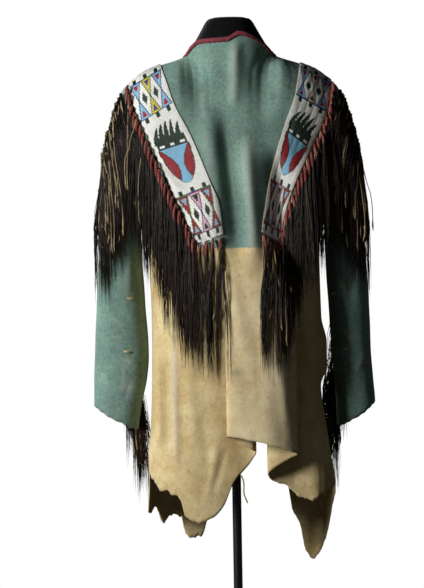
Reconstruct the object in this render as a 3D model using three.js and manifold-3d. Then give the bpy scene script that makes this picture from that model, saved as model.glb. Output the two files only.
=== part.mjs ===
// A hide war shirt with beaded bands and hair locks, hung on a limbless dress form on a stand.
// Millimetres, +Z up. The origin is the centre of the stand's underside. The wearer's back faces -Y.

import * as THREE from "three";
import { mergeVertices } from "three/addons/utils/BufferGeometryUtils.js";
import Module from "manifold-3d";

const wasm = await Module();
wasm.setup();

// Cloth and seams
const HIDE_THICKNESS = 2.2;
const SEAM_GAP = 0.3;
const LAY_GAP = 0.9;
const BAND_THICKNESS = 2.2;

// Shoulder line and neck
const SHOULDER_HALF_WIDTH = 208;
const SHOULDER_TIP_Z = 1336;
const NECK_HALF_WIDTH = 91;
const NAPE_DEPTH = 74;
const THROAT_DEPTH = 86;
const YOKE_FROM_X = 62;
const YOKE_WIDTH = 48;

// Armhole: an upright oval at each side of the body
const ARMHOLE_TOP_Z = SHOULDER_TIP_Z;
const ARMPIT_Z = 1130;
const ARMHOLE_MIDDLE_Z = (ARMHOLE_TOP_Z + ARMPIT_Z) / 2;
const ARMHOLE_HALF_HEIGHT = (ARMHOLE_TOP_Z - ARMPIT_Z) / 2;
const ARMHOLE_HALF_DEPTH = 75;

// Form and stand
const FORM_BOTTOM_Z = 830;
const FORM_NECK_Z = 1386;
const FORM_CLEARANCE = 0.7;
const POLE_RADIUS = 9;
const BASE_RADIUS = 175;
const BASE_HEIGHT = 10;

// Roundness of the body's plan: 2 is an ellipse, more is squarer
const PLAN_POWER = 2.6;

// Body sizes by height: half width at each side, depth of the back and of the front
const BODY = [
  { z: 380, left: 178, right: 192, back: 118, front: 118 },
  { z: 480, left: 178, right: 198, back: 120, front: 120 },
  { z: 540, left: 175, right: 198, back: 121, front: 121 },
  { z: 600, left: 175, right: 189, back: 121, front: 122 },
  { z: 650, left: 170, right: 182, back: 121, front: 122 },
  { z: 735, left: 166, right: 172, back: 120, front: 122 },
  { z: 770, left: 165, right: 185, back: 119, front: 121 },
  { z: 820, left: 164, right: 185, back: 119, front: 121 },
  { z: 870, left: 164, right: 175, back: 119, front: 120 },
  { z: 1000, left: 168, right: 173, back: 121, front: 121 },
  { z: 1130, left: 176, right: 176, back: 124, front: 124 },
  { z: 1233, left: 190, right: 190, back: 118, front: 122 },
  { z: 1336, left: 208, right: 208, back: 104, front: 106 },
];

// Height of the top edge: the neckline first, then the shoulder seam
const BACK_TOP = [
  { x: -208, z: 1336 },
  { x: -170, z: 1365 },
  { x: -140, z: 1377 },
  { x: -91, z: 1394 },
  { x: -74, z: 1415 },
  { x: -62, z: 1423 },
  { x: -4, z: 1427 },
  { x: 19, z: 1438 },
  { x: 64, z: 1420 },
  { x: 91, z: 1394 },
  { x: 140, z: 1377 },
  { x: 170, z: 1365 },
  { x: 208, z: 1336 },
];
const FRONT_TOP = [
  { x: -208, z: 1336 },
  { x: -170, z: 1365 },
  { x: -140, z: 1377 },
  { x: -91, z: 1394 },
  { x: -64, z: 1370 },
  { x: 0, z: 1346 },
  { x: 64, z: 1370 },
  { x: 91, z: 1394 },
  { x: 140, z: 1377 },
  { x: 170, z: 1365 },
  { x: 208, z: 1336 },
];

// Box pleat of the lower back: the hide doubles under both edges of the standing fold.
// across is the place along the hide, lift stands out from the plain section.
const PLEAT = [
  { across: -0.34, x: -89, lift: 0 },
  { across: -0.28, x: -50, lift: -1 },
  { across: -0.23, x: -8, lift: -5 },
  { across: -0.19, x: 24, lift: -7 },
  { across: -0.165, x: 38, lift: -2 },
  { across: -0.145, x: 32, lift: 8 },
  { across: -0.115, x: 2, lift: 12 },
  { across: -0.09, x: -19, lift: 20 },
  { across: -0.07, x: -12, lift: 30 },
  { across: -0.02, x: 20, lift: 36 },
  { across: 0.07, x: 60, lift: 39 },
  { across: 0.16, x: 94, lift: 37 },
  { across: 0.22, x: 113, lift: 31 },
  { across: 0.25, x: 121, lift: 20 },
  { across: 0.28, x: 108, lift: 8 },
  { across: 0.33, x: 80, lift: 0 },
  { across: 0.36, x: 63, lift: -8 },
  { across: 0.39, x: 70, lift: -19 },
  { across: 0.45, x: 96, lift: -24 },
  { across: 0.55, x: 133, lift: -18 },
  { across: 0.66, x: 163, lift: -5 },
];
const PLEAT_STARTS_Z = 1100;
const PLEAT_FULL_Z = 880;

// Large soft folds: where each starts and ends, its half width and how far it stands out
const BACK_FOLDS = [
  { xTop: 14, xBottom: 4, zTop: 1440, zBottom: 1270, width: 13, lift: 7 },
  { xTop: -17, xBottom: 12, zTop: 1300, zBottom: 960, width: 14, lift: -15 },
  { xTop: -48, xBottom: -30, zTop: 1270, zBottom: 990, width: 22, lift: 5 },
  { xTop: 28, xBottom: 44, zTop: 1260, zBottom: 950, width: 16, lift: 9 },
  { xTop: 88, xBottom: 98, zTop: 1220, zBottom: 960, width: 26, lift: -18 },
  { xTop: -95, xBottom: -104, zTop: 1140, zBottom: 780, width: 22, lift: -8 },
  { xTop: -124, xBottom: -122, zTop: 860, zBottom: 540, width: 11, lift: 7 },
  { xTop: -143, xBottom: -141, zTop: 800, zBottom: 590, width: 9, lift: -8 },
  { xTop: 146, xBottom: 150, zTop: 900, zBottom: 520, width: 13, lift: 8 },
];
const FRONT_FOLDS = [
  { xTop: -22, xBottom: -34, zTop: 1320, zBottom: 900, width: 17, lift: -12 },
  { xTop: 20, xBottom: 8, zTop: 1330, zBottom: 700, width: 20, lift: 10 },
  { xTop: 66, xBottom: 84, zTop: 1240, zBottom: 820, width: 22, lift: -13 },
  { xTop: -82, xBottom: -96, zTop: 1180, zBottom: 640, width: 18, lift: 10 },
  { xTop: 120, xBottom: 128, zTop: 1040, zBottom: 470, width: 16, lift: 11 },
  { xTop: -140, xBottom: -148, zTop: 980, zBottom: 560, width: 13, lift: -8 },
  { xTop: -118, xBottom: -122, zTop: 700, zBottom: 460, width: 12, lift: 8 },
];

// Raw lower edges by place across the hide, with the legs of the skin
const BACK_HEM = [
  { across: -1, z: 571 },
  { across: -0.726, z: 543 },
  { across: -0.663, z: 529 },
  { across: -0.609, z: 533 },
  { across: -0.528, z: 525 },
  { across: -0.447, z: 517 },
  { across: -0.425, z: 504 },
  { across: -0.39, z: 478 },
  { across: -0.33, z: 471 },
  { across: -0.306, z: 470 },
  { across: -0.269, z: 482 },
  { across: -0.25, z: 502 },
  { across: -0.229, z: 545 },
  { across: -0.189, z: 582 },
  { across: -0.165, z: 604 },
  { across: -0.145, z: 610 },
  { across: -0.115, z: 624 },
  { across: -0.09, z: 638 },
  { across: -0.02, z: 632 },
  { across: 0.07, z: 622 },
  { across: 0.16, z: 612 },
  { across: 0.25, z: 600 },
  { across: 0.33, z: 577 },
  { across: 0.36, z: 562 },
  { across: 0.39, z: 550 },
  { across: 0.45, z: 538 },
  { across: 0.55, z: 511 },
  { across: 0.62, z: 508 },
  { across: 0.7, z: 519 },
  { across: 0.8, z: 530 },
  { across: 1, z: 537 },
];
const FRONT_HEM = [
  { across: -1, z: 486 },
  { across: -0.85, z: 482 },
  { across: -0.76, z: 494 },
  { across: -0.624, z: 458 },
  { across: -0.55, z: 474 },
  { across: -0.434, z: 470 },
  { across: -0.405, z: 434 },
  { across: -0.34, z: 426 },
  { across: -0.27, z: 428 },
  { across: -0.23, z: 452 },
  { across: -0.166, z: 545 },
  { across: -0.073, z: 612 },
  { across: 0, z: 640 },
  { across: 0.136, z: 655 },
  { across: 0.26, z: 640 },
  { across: 0.35, z: 540 },
  { across: 0.393, z: 476 },
  { across: 0.457, z: 448 },
  { across: 0.503, z: 402 },
  { across: 0.552, z: 386 },
  { across: 0.606, z: 381 },
  { across: 0.655, z: 394 },
  { across: 0.73, z: 420 },
  { across: 0.8, z: 464 },
  { across: 0.88, z: 500 },
  { across: 1, z: 520 },
];

// Sleeves below the bend: distances from the middle plane, and half depth
const SLEEVE = {
  left: [
    { z: 640, outer: 280, inner: 196, depth: 40 },
    { z: 700, outer: 282, inner: 187, depth: 42 },
    { z: 750, outer: 281, inner: 176, depth: 44 },
    { z: 800, outer: 279, inner: 171, depth: 46 },
    { z: 900, outer: 274, inner: 176, depth: 50 },
    { z: 1000, outer: 268, inner: 181, depth: 54 },
    { z: 1060, outer: 262, inner: 183, depth: 57 },
  ],
  right: [
    { z: 640, outer: 280, inner: 204, depth: 44 },
    { z: 700, outer: 280, inner: 202, depth: 46 },
    { z: 750, outer: 276, inner: 199, depth: 48 },
    { z: 800, outer: 273, inner: 195, depth: 50 },
    { z: 900, outer: 271, inner: 189, depth: 52 },
    { z: 1000, outer: 266, inner: 184, depth: 54 },
    { z: 1060, outer: 262, inner: 183, depth: 57 },
  ],
};
const SLEEVE_BEND_Z = 1060;
const SLEEVE_PLAN_POWER = 2.3;
const CUFF_OUTER_Z = 700;
const CUFF_INNER_Z = 652;

// Beaded bands of the body: their two edges, seen from behind, from the shoulder to the lower end
const BAND_EDGES = {
  left: [
    { along: 0, innerX: -139, innerZ: 1377, outerX: -201, outerZ: 1341.5 },
    { along: 0.22, innerX: -112.7, innerZ: 1296, outerX: -190, outerZ: 1290 },
    { along: 0.34, innerX: -95, innerZ: 1264, outerX: -171, outerZ: 1250 },
    { along: 0.48, innerX: -74, innerZ: 1217, outerX: -152, outerZ: 1203 },
    { along: 0.68, innerX: -45, innerZ: 1143, outerX: -121, outerZ: 1132 },
    { along: 0.82, innerX: -26, innerZ: 1097, outerX: -98, outerZ: 1083 },
    { along: 1, innerX: -20, innerZ: 1037, outerX: -70, outerZ: 1020 },
  ],
  right: [
    { along: 0, innerX: 141, innerZ: 1376.6, outerX: 201, outerZ: 1341.5 },
    { along: 0.22, innerX: 128, innerZ: 1306, outerX: 192, outerZ: 1290 },
    { along: 0.34, innerX: 112, innerZ: 1264, outerX: 180, outerZ: 1246 },
    { along: 0.48, innerX: 93, innerZ: 1214, outerX: 152, outerZ: 1200 },
    { along: 0.68, innerX: 75, innerZ: 1145, outerX: 122, outerZ: 1132 },
    { along: 0.82, innerX: 66, innerZ: 1100, outerX: 106, outerZ: 1084 },
    { along: 1, innerX: 56, innerZ: 1040, outerX: 92, outerZ: 1020 },
  ],
};

// Rear edge of the sleeve bands, as an angle round the sleeve: 0 is the crest, 90 the front
const SLEEVE_BAND_EDGE = [
  { z: 700, angle: 67 },
  { z: 1000, angle: 61 },
  { z: 1050, angle: 48 },
  { z: 1100, angle: 28 },
  { z: 1150, angle: 8 },
  { z: 1240, angle: -9 },
  { z: 1330, angle: -15 },
];
const SLEEVE_BAND_ANGLE = 43;
const SLEEVE_BAND_TOP_Z = 1318;
const SLEEVE_BAND_END_Z = 716;

// Locks of hair: a wrapped head, then hair that swells and tapers
const LOCK_LENGTH = 285;
const LOCK_PROFILE = [
  { down: 0, wide: 3, deep: 2.6 },
  { down: 0.07, wide: 6, deep: 5 },
  { down: 0.58, wide: 7.5, deep: 8 },
  { down: 1, wide: 1.8, deep: 1.8 },
];
const LOCK_CLEARANCE = 1.4;
const LOCK_SAMPLES = 24;
const LOCKS_BACK_EDGE = 11;
const LOCKS_FRONT_EDGE = 9;
const LOCKS_BAND_END = 2;
const SLEEVE_LOCKS = {
  back: { count: 6, from: 1312, to: 1165, footFrom: 213, footTo: 284 },
  front: { count: 6, from: 1125, to: 748, footFrom: 184, footTo: 250 },
};
const BACKING_WIDTH = 5;
const BACKING_OFFSET = 0.8;
const BACKING_STARTS_Y = 12;
const SLEEVE_BACKING_ANGLES = [-8, -1.5];
const BAND_OVERRUN = 60;

// Mesh density
const ROWS_OVER = 6;
const BACK_ROWS_DOWN = 13;
const FRONT_ROWS_DOWN = 10;
const SLEEVE_COLUMNS = 16;
const SLEEVE_ROWS_OVER = 5;
const SLEEVE_ROWS_DOWN = 6;
const BAND_STEPS = 8;
const SLEEVE_BAND_STEPS = 14;
const CUTTER_REACH = 9;
const LAYER_END_ROW = 1.45;
const BODY_REACH = 240;
const FORM_SIDES = 18;
const STAND_SIDES = 24;

// Searches by halving
const HALVINGS = 28;
const LOCATE_PASSES = 3;

const BACK = -1;
const FRONT = 1;

// Smooth curve through a table's rows, which never overshoots them
function curve(rows, key, column) {
  const x = rows.map((row) => row[key]);
  const y = rows.map((row) => row[column]);
  const last = x.length - 1;
  const slope = (i) => (y[i + 1] - y[i]) / (x[i + 1] - x[i]);
  const tangent = x.map((_, i) => {
    if (i === 0) return slope(0);
    if (i === last) return slope(last - 1);
    const before = slope(i - 1);
    const after = slope(i);
    return before * after <= 0 ? 0 : (2 * before * after) / (before + after);
  });
  return (at) => {
    if (at <= x[0]) return y[0];
    if (at >= x[last]) return y[last];
    const i = x.findIndex((_, k) => at < x[k + 1]);
    const step = x[i + 1] - x[i];
    const t = (at - x[i]) / step;
    const t2 = t * t;
    const t3 = t2 * t;
    return (2 * t3 - 3 * t2 + 1) * y[i] + (t3 - 2 * t2 + t) * step * tangent[i]
      + (3 * t2 - 2 * t3) * y[i + 1] + (t3 - t2) * step * tangent[i + 1];
  };
}

const clamp = (v, low = 0, high = 1) => Math.min(high, Math.max(low, v));
const mix = (a, b, t) => a + (b - a) * t;
const smooth = (t) => clamp(t) ** 2 * (3 - 2 * clamp(t));
const radians = (degrees) => (degrees * Math.PI) / 180;

const halfWidthLeft = curve(BODY, "z", "left");
const halfWidthRight = curve(BODY, "z", "right");
const depthOf = { [BACK]: curve(BODY, "z", "back"), [FRONT]: curve(BODY, "z", "front") };
const topOf = { [BACK]: curve(BACK_TOP, "x", "z"), [FRONT]: curve(FRONT_TOP, "x", "z") };
const hemOf = { [BACK]: curve(BACK_HEM, "across", "z"), [FRONT]: curve(FRONT_HEM, "across", "z") };
const foldsOf = { [BACK]: BACK_FOLDS, [FRONT]: FRONT_FOLDS };
const neckDepthOf = { [BACK]: NAPE_DEPTH, [FRONT]: THROAT_DEPTH };
const pleatX = curve(PLEAT, "across", "x");
const pleatLift = curve(PLEAT, "across", "lift");
const pleatStart = PLEAT[0].across;
const pleatEnd = PLEAT[PLEAT.length - 1].across;

const halfWidth = (u, z) => (u < 0 ? halfWidthLeft(z) : halfWidthRight(z));

// Half depth of the armhole's oval at a height, zero below the armpit
function armholeDepth(z) {
  const rise = clamp((z - ARMHOLE_MIDDLE_Z) / ARMHOLE_HALF_HEIGHT, -1, 1);
  return ARMHOLE_HALF_DEPTH * Math.sqrt(1 - rise * rise);
}

// How far the plain body stands out at a distance from the middle, 0 to 1 of its half width
function planDepth(depth, edgeDepth, part) {
  const edge = (1 - (edgeDepth / depth) ** PLAN_POWER) ** (1 / PLAN_POWER);
  return depth * clamp(1 - (edge * clamp(part)) ** PLAN_POWER) ** (1 / PLAN_POWER);
}

function foldLift(side, x, z) {
  return foldsOf[side].reduce((sum, fold) => {
    const down = (fold.zTop - z) / (fold.zTop - fold.zBottom);
    const strength = smooth(down * 4) * smooth((1 - down) * 4);
    const offset = (x - mix(fold.xTop, fold.xBottom, down)) / fold.width;
    return sum + fold.lift * strength * Math.exp(-offset * offset);
  }, 0);
}

// A point of the body's plan at height z: u runs across from -1 to 1
function bodySection(side, u, z) {
  const wide = halfWidth(u, z);
  const depth = depthOf[side](z);
  const part = Math.sin((Math.abs(u) * Math.PI) / 2);
  let x = Math.sign(u) * wide * part;
  let out = planDepth(depth, armholeDepth(z), part);
  if (side === BACK && u > pleatStart && u < pleatEnd) {
    const strength = smooth((PLEAT_STARTS_Z - z) / (PLEAT_STARTS_Z - PLEAT_FULL_Z));
    const foldedX = pleatX(u);
    const foldedOut = planDepth(depth, 0, Math.abs(foldedX) / wide) + pleatLift(u);
    x = mix(x, foldedX, strength);
    out = mix(out, foldedOut, strength);
  }
  const edgeFade = smooth((1 - Math.abs(u)) * 8);
  return { x, out: out + foldLift(side, x, z) * edgeFade };
}

// A point of a body panel: row 0 is its top edge, 1 the armhole's middle height, 2 the hem
function panelPoint(side, u, row) {
  const topX = SHOULDER_HALF_WIDTH * Math.sin((u * Math.PI) / 2);
  const topZ = topOf[side](topX);
  const neck = clamp(1 - (topX / NECK_HALF_WIDTH) ** 2);
  const topOut = neckDepthOf[side] * Math.sqrt(neck);
  let x;
  let out;
  let z;
  if (row <= 1) {
    const shoulder = smooth((Math.abs(topX) - YOKE_FROM_X) / YOKE_WIDTH);
    const angle = (row * Math.PI) / 2;
    const outward = mix(smooth(row), Math.sin(angle), shoulder);
    const drop = mix(row, 1 - Math.cos(angle), shoulder);
    z = mix(topZ, ARMHOLE_MIDDLE_Z, drop);
    const base = bodySection(side, u, ARMHOLE_MIDDLE_Z);
    const plain = foldLift(side, base.x, ARMHOLE_MIDDLE_Z);
    const fade = smooth((1 - Math.abs(u)) * 8);
    x = mix(topX, base.x, drop);
    out = mix(topOut, base.out - plain * fade, outward) + foldLift(side, x, z) * fade;
  } else {
    z = mix(ARMHOLE_MIDDLE_Z, hemOf[side](u), row - 1);
    ({ x, out } = bodySection(side, u, z));
  }
  return new THREE.Vector3(x, side * Math.max(out, SEAM_GAP / 2), z);
}

// A grid of points, rows by columns
function makeGrid(rows, columns, point) {
  return rows.map((row) => columns.map((column) => point(column, row)));
}

// Unit normals of a grid, from the neighbours of each point; facing tells which way is out
function gridNormals(grid, closed, facing) {
  const rows = grid.length;
  const columns = grid[0].length;
  return grid.map((line, i) => line.map((_, j) => {
    const above = grid[Math.max(i - 1, 0)][j];
    const below = grid[Math.min(i + 1, rows - 1)][j];
    const left = closed ? line[(j + columns - 1) % columns] : line[Math.max(j - 1, 0)];
    const right = closed ? line[(j + 1) % columns] : line[Math.min(j + 1, columns - 1)];
    const across = new THREE.Vector3().subVectors(right, left);
    const down = new THREE.Vector3().subVectors(below, above);
    return across.cross(down).normalize().multiplyScalar(facing);
  }));
}

// Closed wall between two grids of the same size
function wallGeometry(outer, inner, closed, flip) {
  const rows = outer.length;
  const columns = outer[0].length;
  const points = [...outer.flat(), ...inner.flat()];
  const innerStart = rows * columns;
  const index = [];
  const quad = (a, b, c, d) => {
    const triangles = [[a, b, c], [a, c, d]];
    triangles.forEach((t) => index.push(...(flip ? [t[0], t[2], t[1]] : t)));
  };
  const lastColumn = closed ? columns : columns - 1;
  for (let i = 0; i < rows - 1; i += 1) {
    for (let j = 0; j < lastColumn; j += 1) {
      const next = (j + 1) % columns;
      const a = i * columns + j;
      const b = i * columns + next;
      const c = (i + 1) * columns + next;
      const d = (i + 1) * columns + j;
      quad(a, b, c, d);
      quad(innerStart + a, innerStart + d, innerStart + c, innerStart + b);
    }
  }
  for (let j = 0; j < lastColumn; j += 1) {
    const next = (j + 1) % columns;
    const bottom = (rows - 1) * columns;
    quad(innerStart + j, innerStart + next, next, j);
    quad(bottom + j, bottom + next, innerStart + bottom + next, innerStart + bottom + j);
  }
  if (!closed) {
    for (let i = 0; i < rows - 1; i += 1) {
      const a = i * columns;
      const d = (i + 1) * columns;
      const e = a + columns - 1;
      const f = d + columns - 1;
      quad(innerStart + a, a, d, innerStart + d);
      quad(e, innerStart + e, innerStart + f, f);
    }
  }
  const geometry = new THREE.BufferGeometry();
  geometry.setAttribute("position",
    new THREE.Float32BufferAttribute(points.flatMap((p) => [p.x, p.y, p.z]), 3));
  geometry.setIndex(index);
  return geometry;
}

const moved = (point, direction, distance) => point.clone().addScaledVector(direction, distance);

// Inner side of a hide whose seam edges turn in square to their neighbours
function innerGrid(outer, normals, edgeDirection) {
  return outer.map((line, i) => line.map((p, j) => {
    const direction = edgeDirection(p, i, j) ?? normals[i][j].clone().negate();
    return moved(p, direction, HIDE_THICKNESS);
  }));
}

// Direction into the cloth round the armhole, the same for both pieces that meet there
function armholeInward(p, towardBody) {
  const aside = Math.sign(p.x);
  const around = -p.y / ARMHOLE_HALF_DEPTH;
  if (p.z >= ARMHOLE_MIDDLE_Z) {
    return new THREE.Vector3(0, around, (ARMHOLE_MIDDLE_Z - p.z) / ARMHOLE_HALF_HEIGHT).normalize();
  }
  const low = clamp((ARMHOLE_MIDDLE_Z - p.z) / ARMHOLE_HALF_HEIGHT);
  return new THREE.Vector3(aside * low * (towardBody ? -1 : 1), around, 0).normalize();
}

function evenly(from, to, steps) {
  return Array.from({ length: steps + 1 }, (_, i) => mix(from, to, i / steps));
}

// One body hide: its wall and the outer grid that the pieces on it are made from
function makePanel(side, columns, rows) {
  const outer = makeGrid(rows, columns, (u, row) => panelPoint(side, u, row));
  const normals = gridNormals(outer, false, side);
  const lastColumn = columns.length - 1;
  const inner = innerGrid(outer, normals, (p, i, j) => {
    if (j === 0 || j === lastColumn) return armholeInward(p, true);
    if (i === 0 && Math.abs(p.x) > NECK_HALF_WIDTH - SEAM_GAP) return new THREE.Vector3(0, 0, -1);
    return null;
  });
  inner.forEach((line) => line.forEach((p) => {
    p.y = side * Math.max(side * p.y, SEAM_GAP / 2);
  }));
  return { columns, rows, outer, inner, normals, geometry: wallGeometry(outer, inner, false, side < 0) };
}

// Place across the hide of a distance from the middle on its top edge
const acrossAt = (x) => (2 / Math.PI) * Math.asin(x / SHOULDER_HALF_WIDTH);
const NECK_ACROSS = acrossAt(NECK_HALF_WIDTH);
const NECK_CORNER_ACROSS = acrossAt(NECK_HALF_WIDTH * 0.966);

const backColumns = [
  ...evenly(-1, pleatStart, 7),
  -NECK_ACROSS,
  -NECK_CORNER_ACROSS,
  ...evenly(-0.26, 0.26, 15),
  NECK_CORNER_ACROSS,
  NECK_ACROSS,
  ...evenly(0.32, pleatEnd, 7),
  ...evenly(pleatEnd, 1, 3).slice(1),
];
const frontColumns = [
  ...evenly(-1, -NECK_ACROSS, 7),
  ...[-72, -54, -36, -12, 12, 36, 54, 72].map(
    (degrees) => acrossAt(NECK_HALF_WIDTH * Math.sin(radians(degrees))),
  ),
  ...evenly(NECK_ACROSS, 1, 7),
];
const backRows = [...evenly(0, 1, ROWS_OVER), ...evenly(1, 2, BACK_ROWS_DOWN).slice(1)];
const frontRows = [...evenly(0, 1, ROWS_OVER), ...evenly(1, 2, FRONT_ROWS_DOWN).slice(1)];
const backPanel = makePanel(BACK, backColumns, backRows);
const frontPanel = makePanel(FRONT, frontColumns, frontRows);
const panelOf = { [BACK]: backPanel, [FRONT]: frontPanel };

// Sleeves: angle 0 is the crest, 90 the front, 180 the body's side, -90 the back
function makeSleeve(name, aside) {
  const outerX = curve(SLEEVE[name], "z", "outer");
  const innerX = curve(SLEEVE[name], "z", "inner");
  const halfDepth = curve(SLEEVE[name], "z", "depth");
  const ring = (angle, z) => {
    const cos = Math.cos(angle);
    const sin = Math.sin(angle);
    const power = 2 / SLEEVE_PLAN_POWER;
    const middle = (outerX(z) + innerX(z)) / 2;
    const half = (outerX(z) - innerX(z)) / 2;
    return new THREE.Vector3(
      aside * (middle + half * Math.sign(cos) * Math.abs(cos) ** power),
      halfDepth(z) * Math.sign(sin) * Math.abs(sin) ** power,
      z,
    );
  };
  const armhole = (angle) => {
    const z = ARMHOLE_MIDDLE_Z + ARMHOLE_HALF_HEIGHT * Math.cos(angle);
    const x = halfWidth(aside, z) + 2 * SEAM_GAP;
    return new THREE.Vector3(aside * x, ARMHOLE_HALF_DEPTH * Math.sin(angle), z);
  };
  const point = (angle, row) => {
    if (row > 1) {
      const high = (1 + Math.cos(angle)) / 2;
      const cuff = mix(CUFF_INNER_Z, CUFF_OUTER_Z, high ** 1.5);
      return ring(angle, mix(SLEEVE_BEND_Z, cuff, row - 1));
    }
    const high = (1 + Math.cos(angle)) / 2;
    const start = armhole(angle);
    const end = ring(angle, SLEEVE_BEND_Z);
    const fall = start.z - SLEEVE_BEND_Z;
    const leave = moved(start, new THREE.Vector3(aside, 0.12 * Math.sin(angle), -0.55), 6 + 12 * high);
    const arrive = moved(end, new THREE.Vector3(0, 0, 1), fall * 0.55);
    return new THREE.CubicBezierCurve3(start, leave, arrive, end).getPoint(row);
  };
  const angles = evenly(0, 2 * Math.PI, SLEEVE_COLUMNS).slice(0, -1);
  const rows = [...evenly(0, 1, SLEEVE_ROWS_OVER), ...evenly(1, 2, SLEEVE_ROWS_DOWN).slice(1)];
  const outer = makeGrid(rows, angles, point);
  const normals = gridNormals(outer, true, -aside);
  const inner = innerGrid(outer, normals, (p, i) => (i === 0 ? armholeInward(p, false) : null));
  return {
    aside, columns: angles, rows, outer, inner, normals, point,
    geometry: wallGeometry(outer, inner, true, aside > 0),
  };
}

const sleeveOf = { left: makeSleeve("left", -1), right: makeSleeve("right", 1) };

// A place on a grid's flat facets, with the outward normal there
function onFacets(cloth, column, row, closed) {
  const { columns, rows, outer, normals } = cloth;
  const last = columns.length - 1;
  let j = columns.findIndex((_, k) => k < last && column < columns[k + 1]);
  let nextColumn = columns[j + 1];
  if (j < 0) {
    j = closed ? last : last - 1;
    nextColumn = closed ? 2 * Math.PI : columns[last];
  }
  const i = clamp(rows.findIndex((_, k) => row < rows[k + 1]) < 0
    ? rows.length - 2 : rows.findIndex((_, k) => row < rows[k + 1]), 0, rows.length - 2);
  const next = (j + 1) % columns.length;
  const s = clamp((column - columns[j]) / (nextColumn - columns[j]));
  const t = clamp((row - rows[i]) / (rows[i + 1] - rows[i]));
  const blend = (field) => {
    const a = field[i][j];
    const b = field[i][next];
    const c = field[i + 1][next];
    const d = field[i + 1][j];
    const sum = new THREE.Vector3();
    if (s >= t) return sum.addScaledVector(a, 1 - s).addScaledVector(b, s - t).addScaledVector(c, t);
    return sum.addScaledVector(a, 1 - t).addScaledVector(d, t - s).addScaledVector(c, s);
  };
  return { point: blend(outer), normal: blend(normals).normalize() };
}

// Place across and down a body panel for a point seen from behind
function locate(side, x, z) {
  let u = (2 / Math.PI) * Math.asin(clamp(x / halfWidth(x, z), -1, 1));
  let row = 0;
  for (let pass = 0; pass < LOCATE_PASSES; pass += 1) {
    let low = 0;
    let high = 2;
    for (let step = 0; step < HALVINGS; step += 1) {
      row = (low + high) / 2;
      if (panelPoint(side, u, row).z > z) low = row;
      else high = row;
    }
    let left = -1;
    let right = 1;
    for (let step = 0; step < HALVINGS; step += 1) {
      u = (left + right) / 2;
      if (panelPoint(side, u, row).x < x) left = u;
      else right = u;
    }
  }
  return { u, row };
}

// A place's point moved out from the cloth
function laidOn(place, gap) {
  return moved(place.point, place.normal, gap);
}

const upward = new THREE.Vector3(0, 0, 1);

// Layer on a body panel, between two distances out from it, carried just past the shoulder seam
function layerOn(side, near, far) {
  const panel = panelOf[side];
  const rows = panel.rows.filter((row) => row < LAYER_END_ROW).length;
  const at = (distance) => panel.outer.slice(0, rows).map((line, i) => line.map((p, j) => (
    i === 0
      ? new THREE.Vector3(p.x, -side * SEAM_GAP, p.z + distance)
      : moved(p, panel.normals[i][j], distance)
  )));
  return solidOf(facingOut(wallGeometry(at(far), at(near), false, false)));
}

const layerOf = { [BACK]: layerOn(BACK, LAY_GAP, LAY_GAP + BAND_THICKNESS),
  [FRONT]: layerOn(FRONT, LAY_GAP, LAY_GAP + BAND_THICKNESS) };

// The two edges of a body band's outline at each station, seen from behind
function bandLine(name, along, from, to) {
  const rows = BAND_EDGES[name];
  const at = (column) => curve(rows, "along", column)(along);
  const inner = new THREE.Vector3(at("innerX"), 0, at("innerZ"));
  const outer = new THREE.Vector3(at("outerX"), 0, at("outerZ"));
  return [from, to].map(([across, beyond]) => {
    const width = inner.distanceTo(outer);
    return inner.clone().lerp(outer, across + beyond / width);
  });
}

// Part of a layer that lies inside an outline given as pairs of points, seen from behind
function cutLayer(side, lines, nearest) {
  const at = (y) => lines.map((line) => line.map((p) => new THREE.Vector3(p.x, side * y, p.z)));
  const prism = solidOf(facingOut(wallGeometry(at(BODY_REACH), at(nearest), false, false)));
  return layerOf[side].intersect(prism);
}

function bandLines(name, from, to) {
  const lines = evenly(0, 1, BAND_STEPS).map((along) => bandLine(name, along, from, to));
  return [lines[0].map((p) => moved(p, upward, BAND_OVERRUN)), ...lines];
}

function makeBand(name) {
  const lines = bandLines(name, [0, 0], [1, 0]);
  const pastRidge = -2 * SEAM_GAP;
  return cutLayer(BACK, lines, pastRidge).add(cutLayer(FRONT, lines, pastRidge));
}

// Sleeve band: from its rear edge forward, down from the shoulder to near the cuff
const sleeveBandEdge = curve(SLEEVE_BAND_EDGE, "z", "angle");

function sleevePlace(sleeve, degrees, z) {
  const angle = radians((degrees + 360) % 360);
  let low = 0;
  let high = 2;
  for (let step = 0; step < HALVINGS; step += 1) {
    const row = (low + high) / 2;
    if (sleeve.point(angle, row).z > z) low = row;
    else high = row;
  }
  return onFacets(sleeve, angle, (low + high) / 2, true);
}

// Part of the layer on a sleeve inside an outline of rear and front angles at each height
function cutSleeveLayer(name, heights, angles, thicker = 0) {
  const sleeve = sleeveOf[name];
  const at = (distance) => sleeve.outer.map((line, i) => line.map(
    (p, j) => moved(p, sleeve.normals[i][j], distance),
  ));
  const layer = wallGeometry(at(LAY_GAP + BAND_THICKNESS + thicker), at(LAY_GAP - thicker), true, false);
  const places = heights.map((z) => angles.map((angle) => sleevePlace(sleeve, sleeveBandEdge(z) + angle, z)));
  const side = (distance) => places.map((line) => line.map((place) => laidOn(place, distance)));
  const cutter = wallGeometry(side(CUTTER_REACH), side(-CUTTER_REACH), false, false);
  return solidOf(facingOut(layer)).intersect(solidOf(facingOut(cutter)));
}

// Strip of the sleeve, grown by a margin where it is used to clear its neighbours
function makeSleeveBand(name, margin = 0) {
  const heights = evenly(SLEEVE_BAND_TOP_Z + margin, SLEEVE_BAND_END_Z - margin, SLEEVE_BAND_STEPS);
  return cutSleeveLayer(name, heights, evenly(-margin, SLEEVE_BAND_ANGLE + margin, 3), margin);
}

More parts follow.
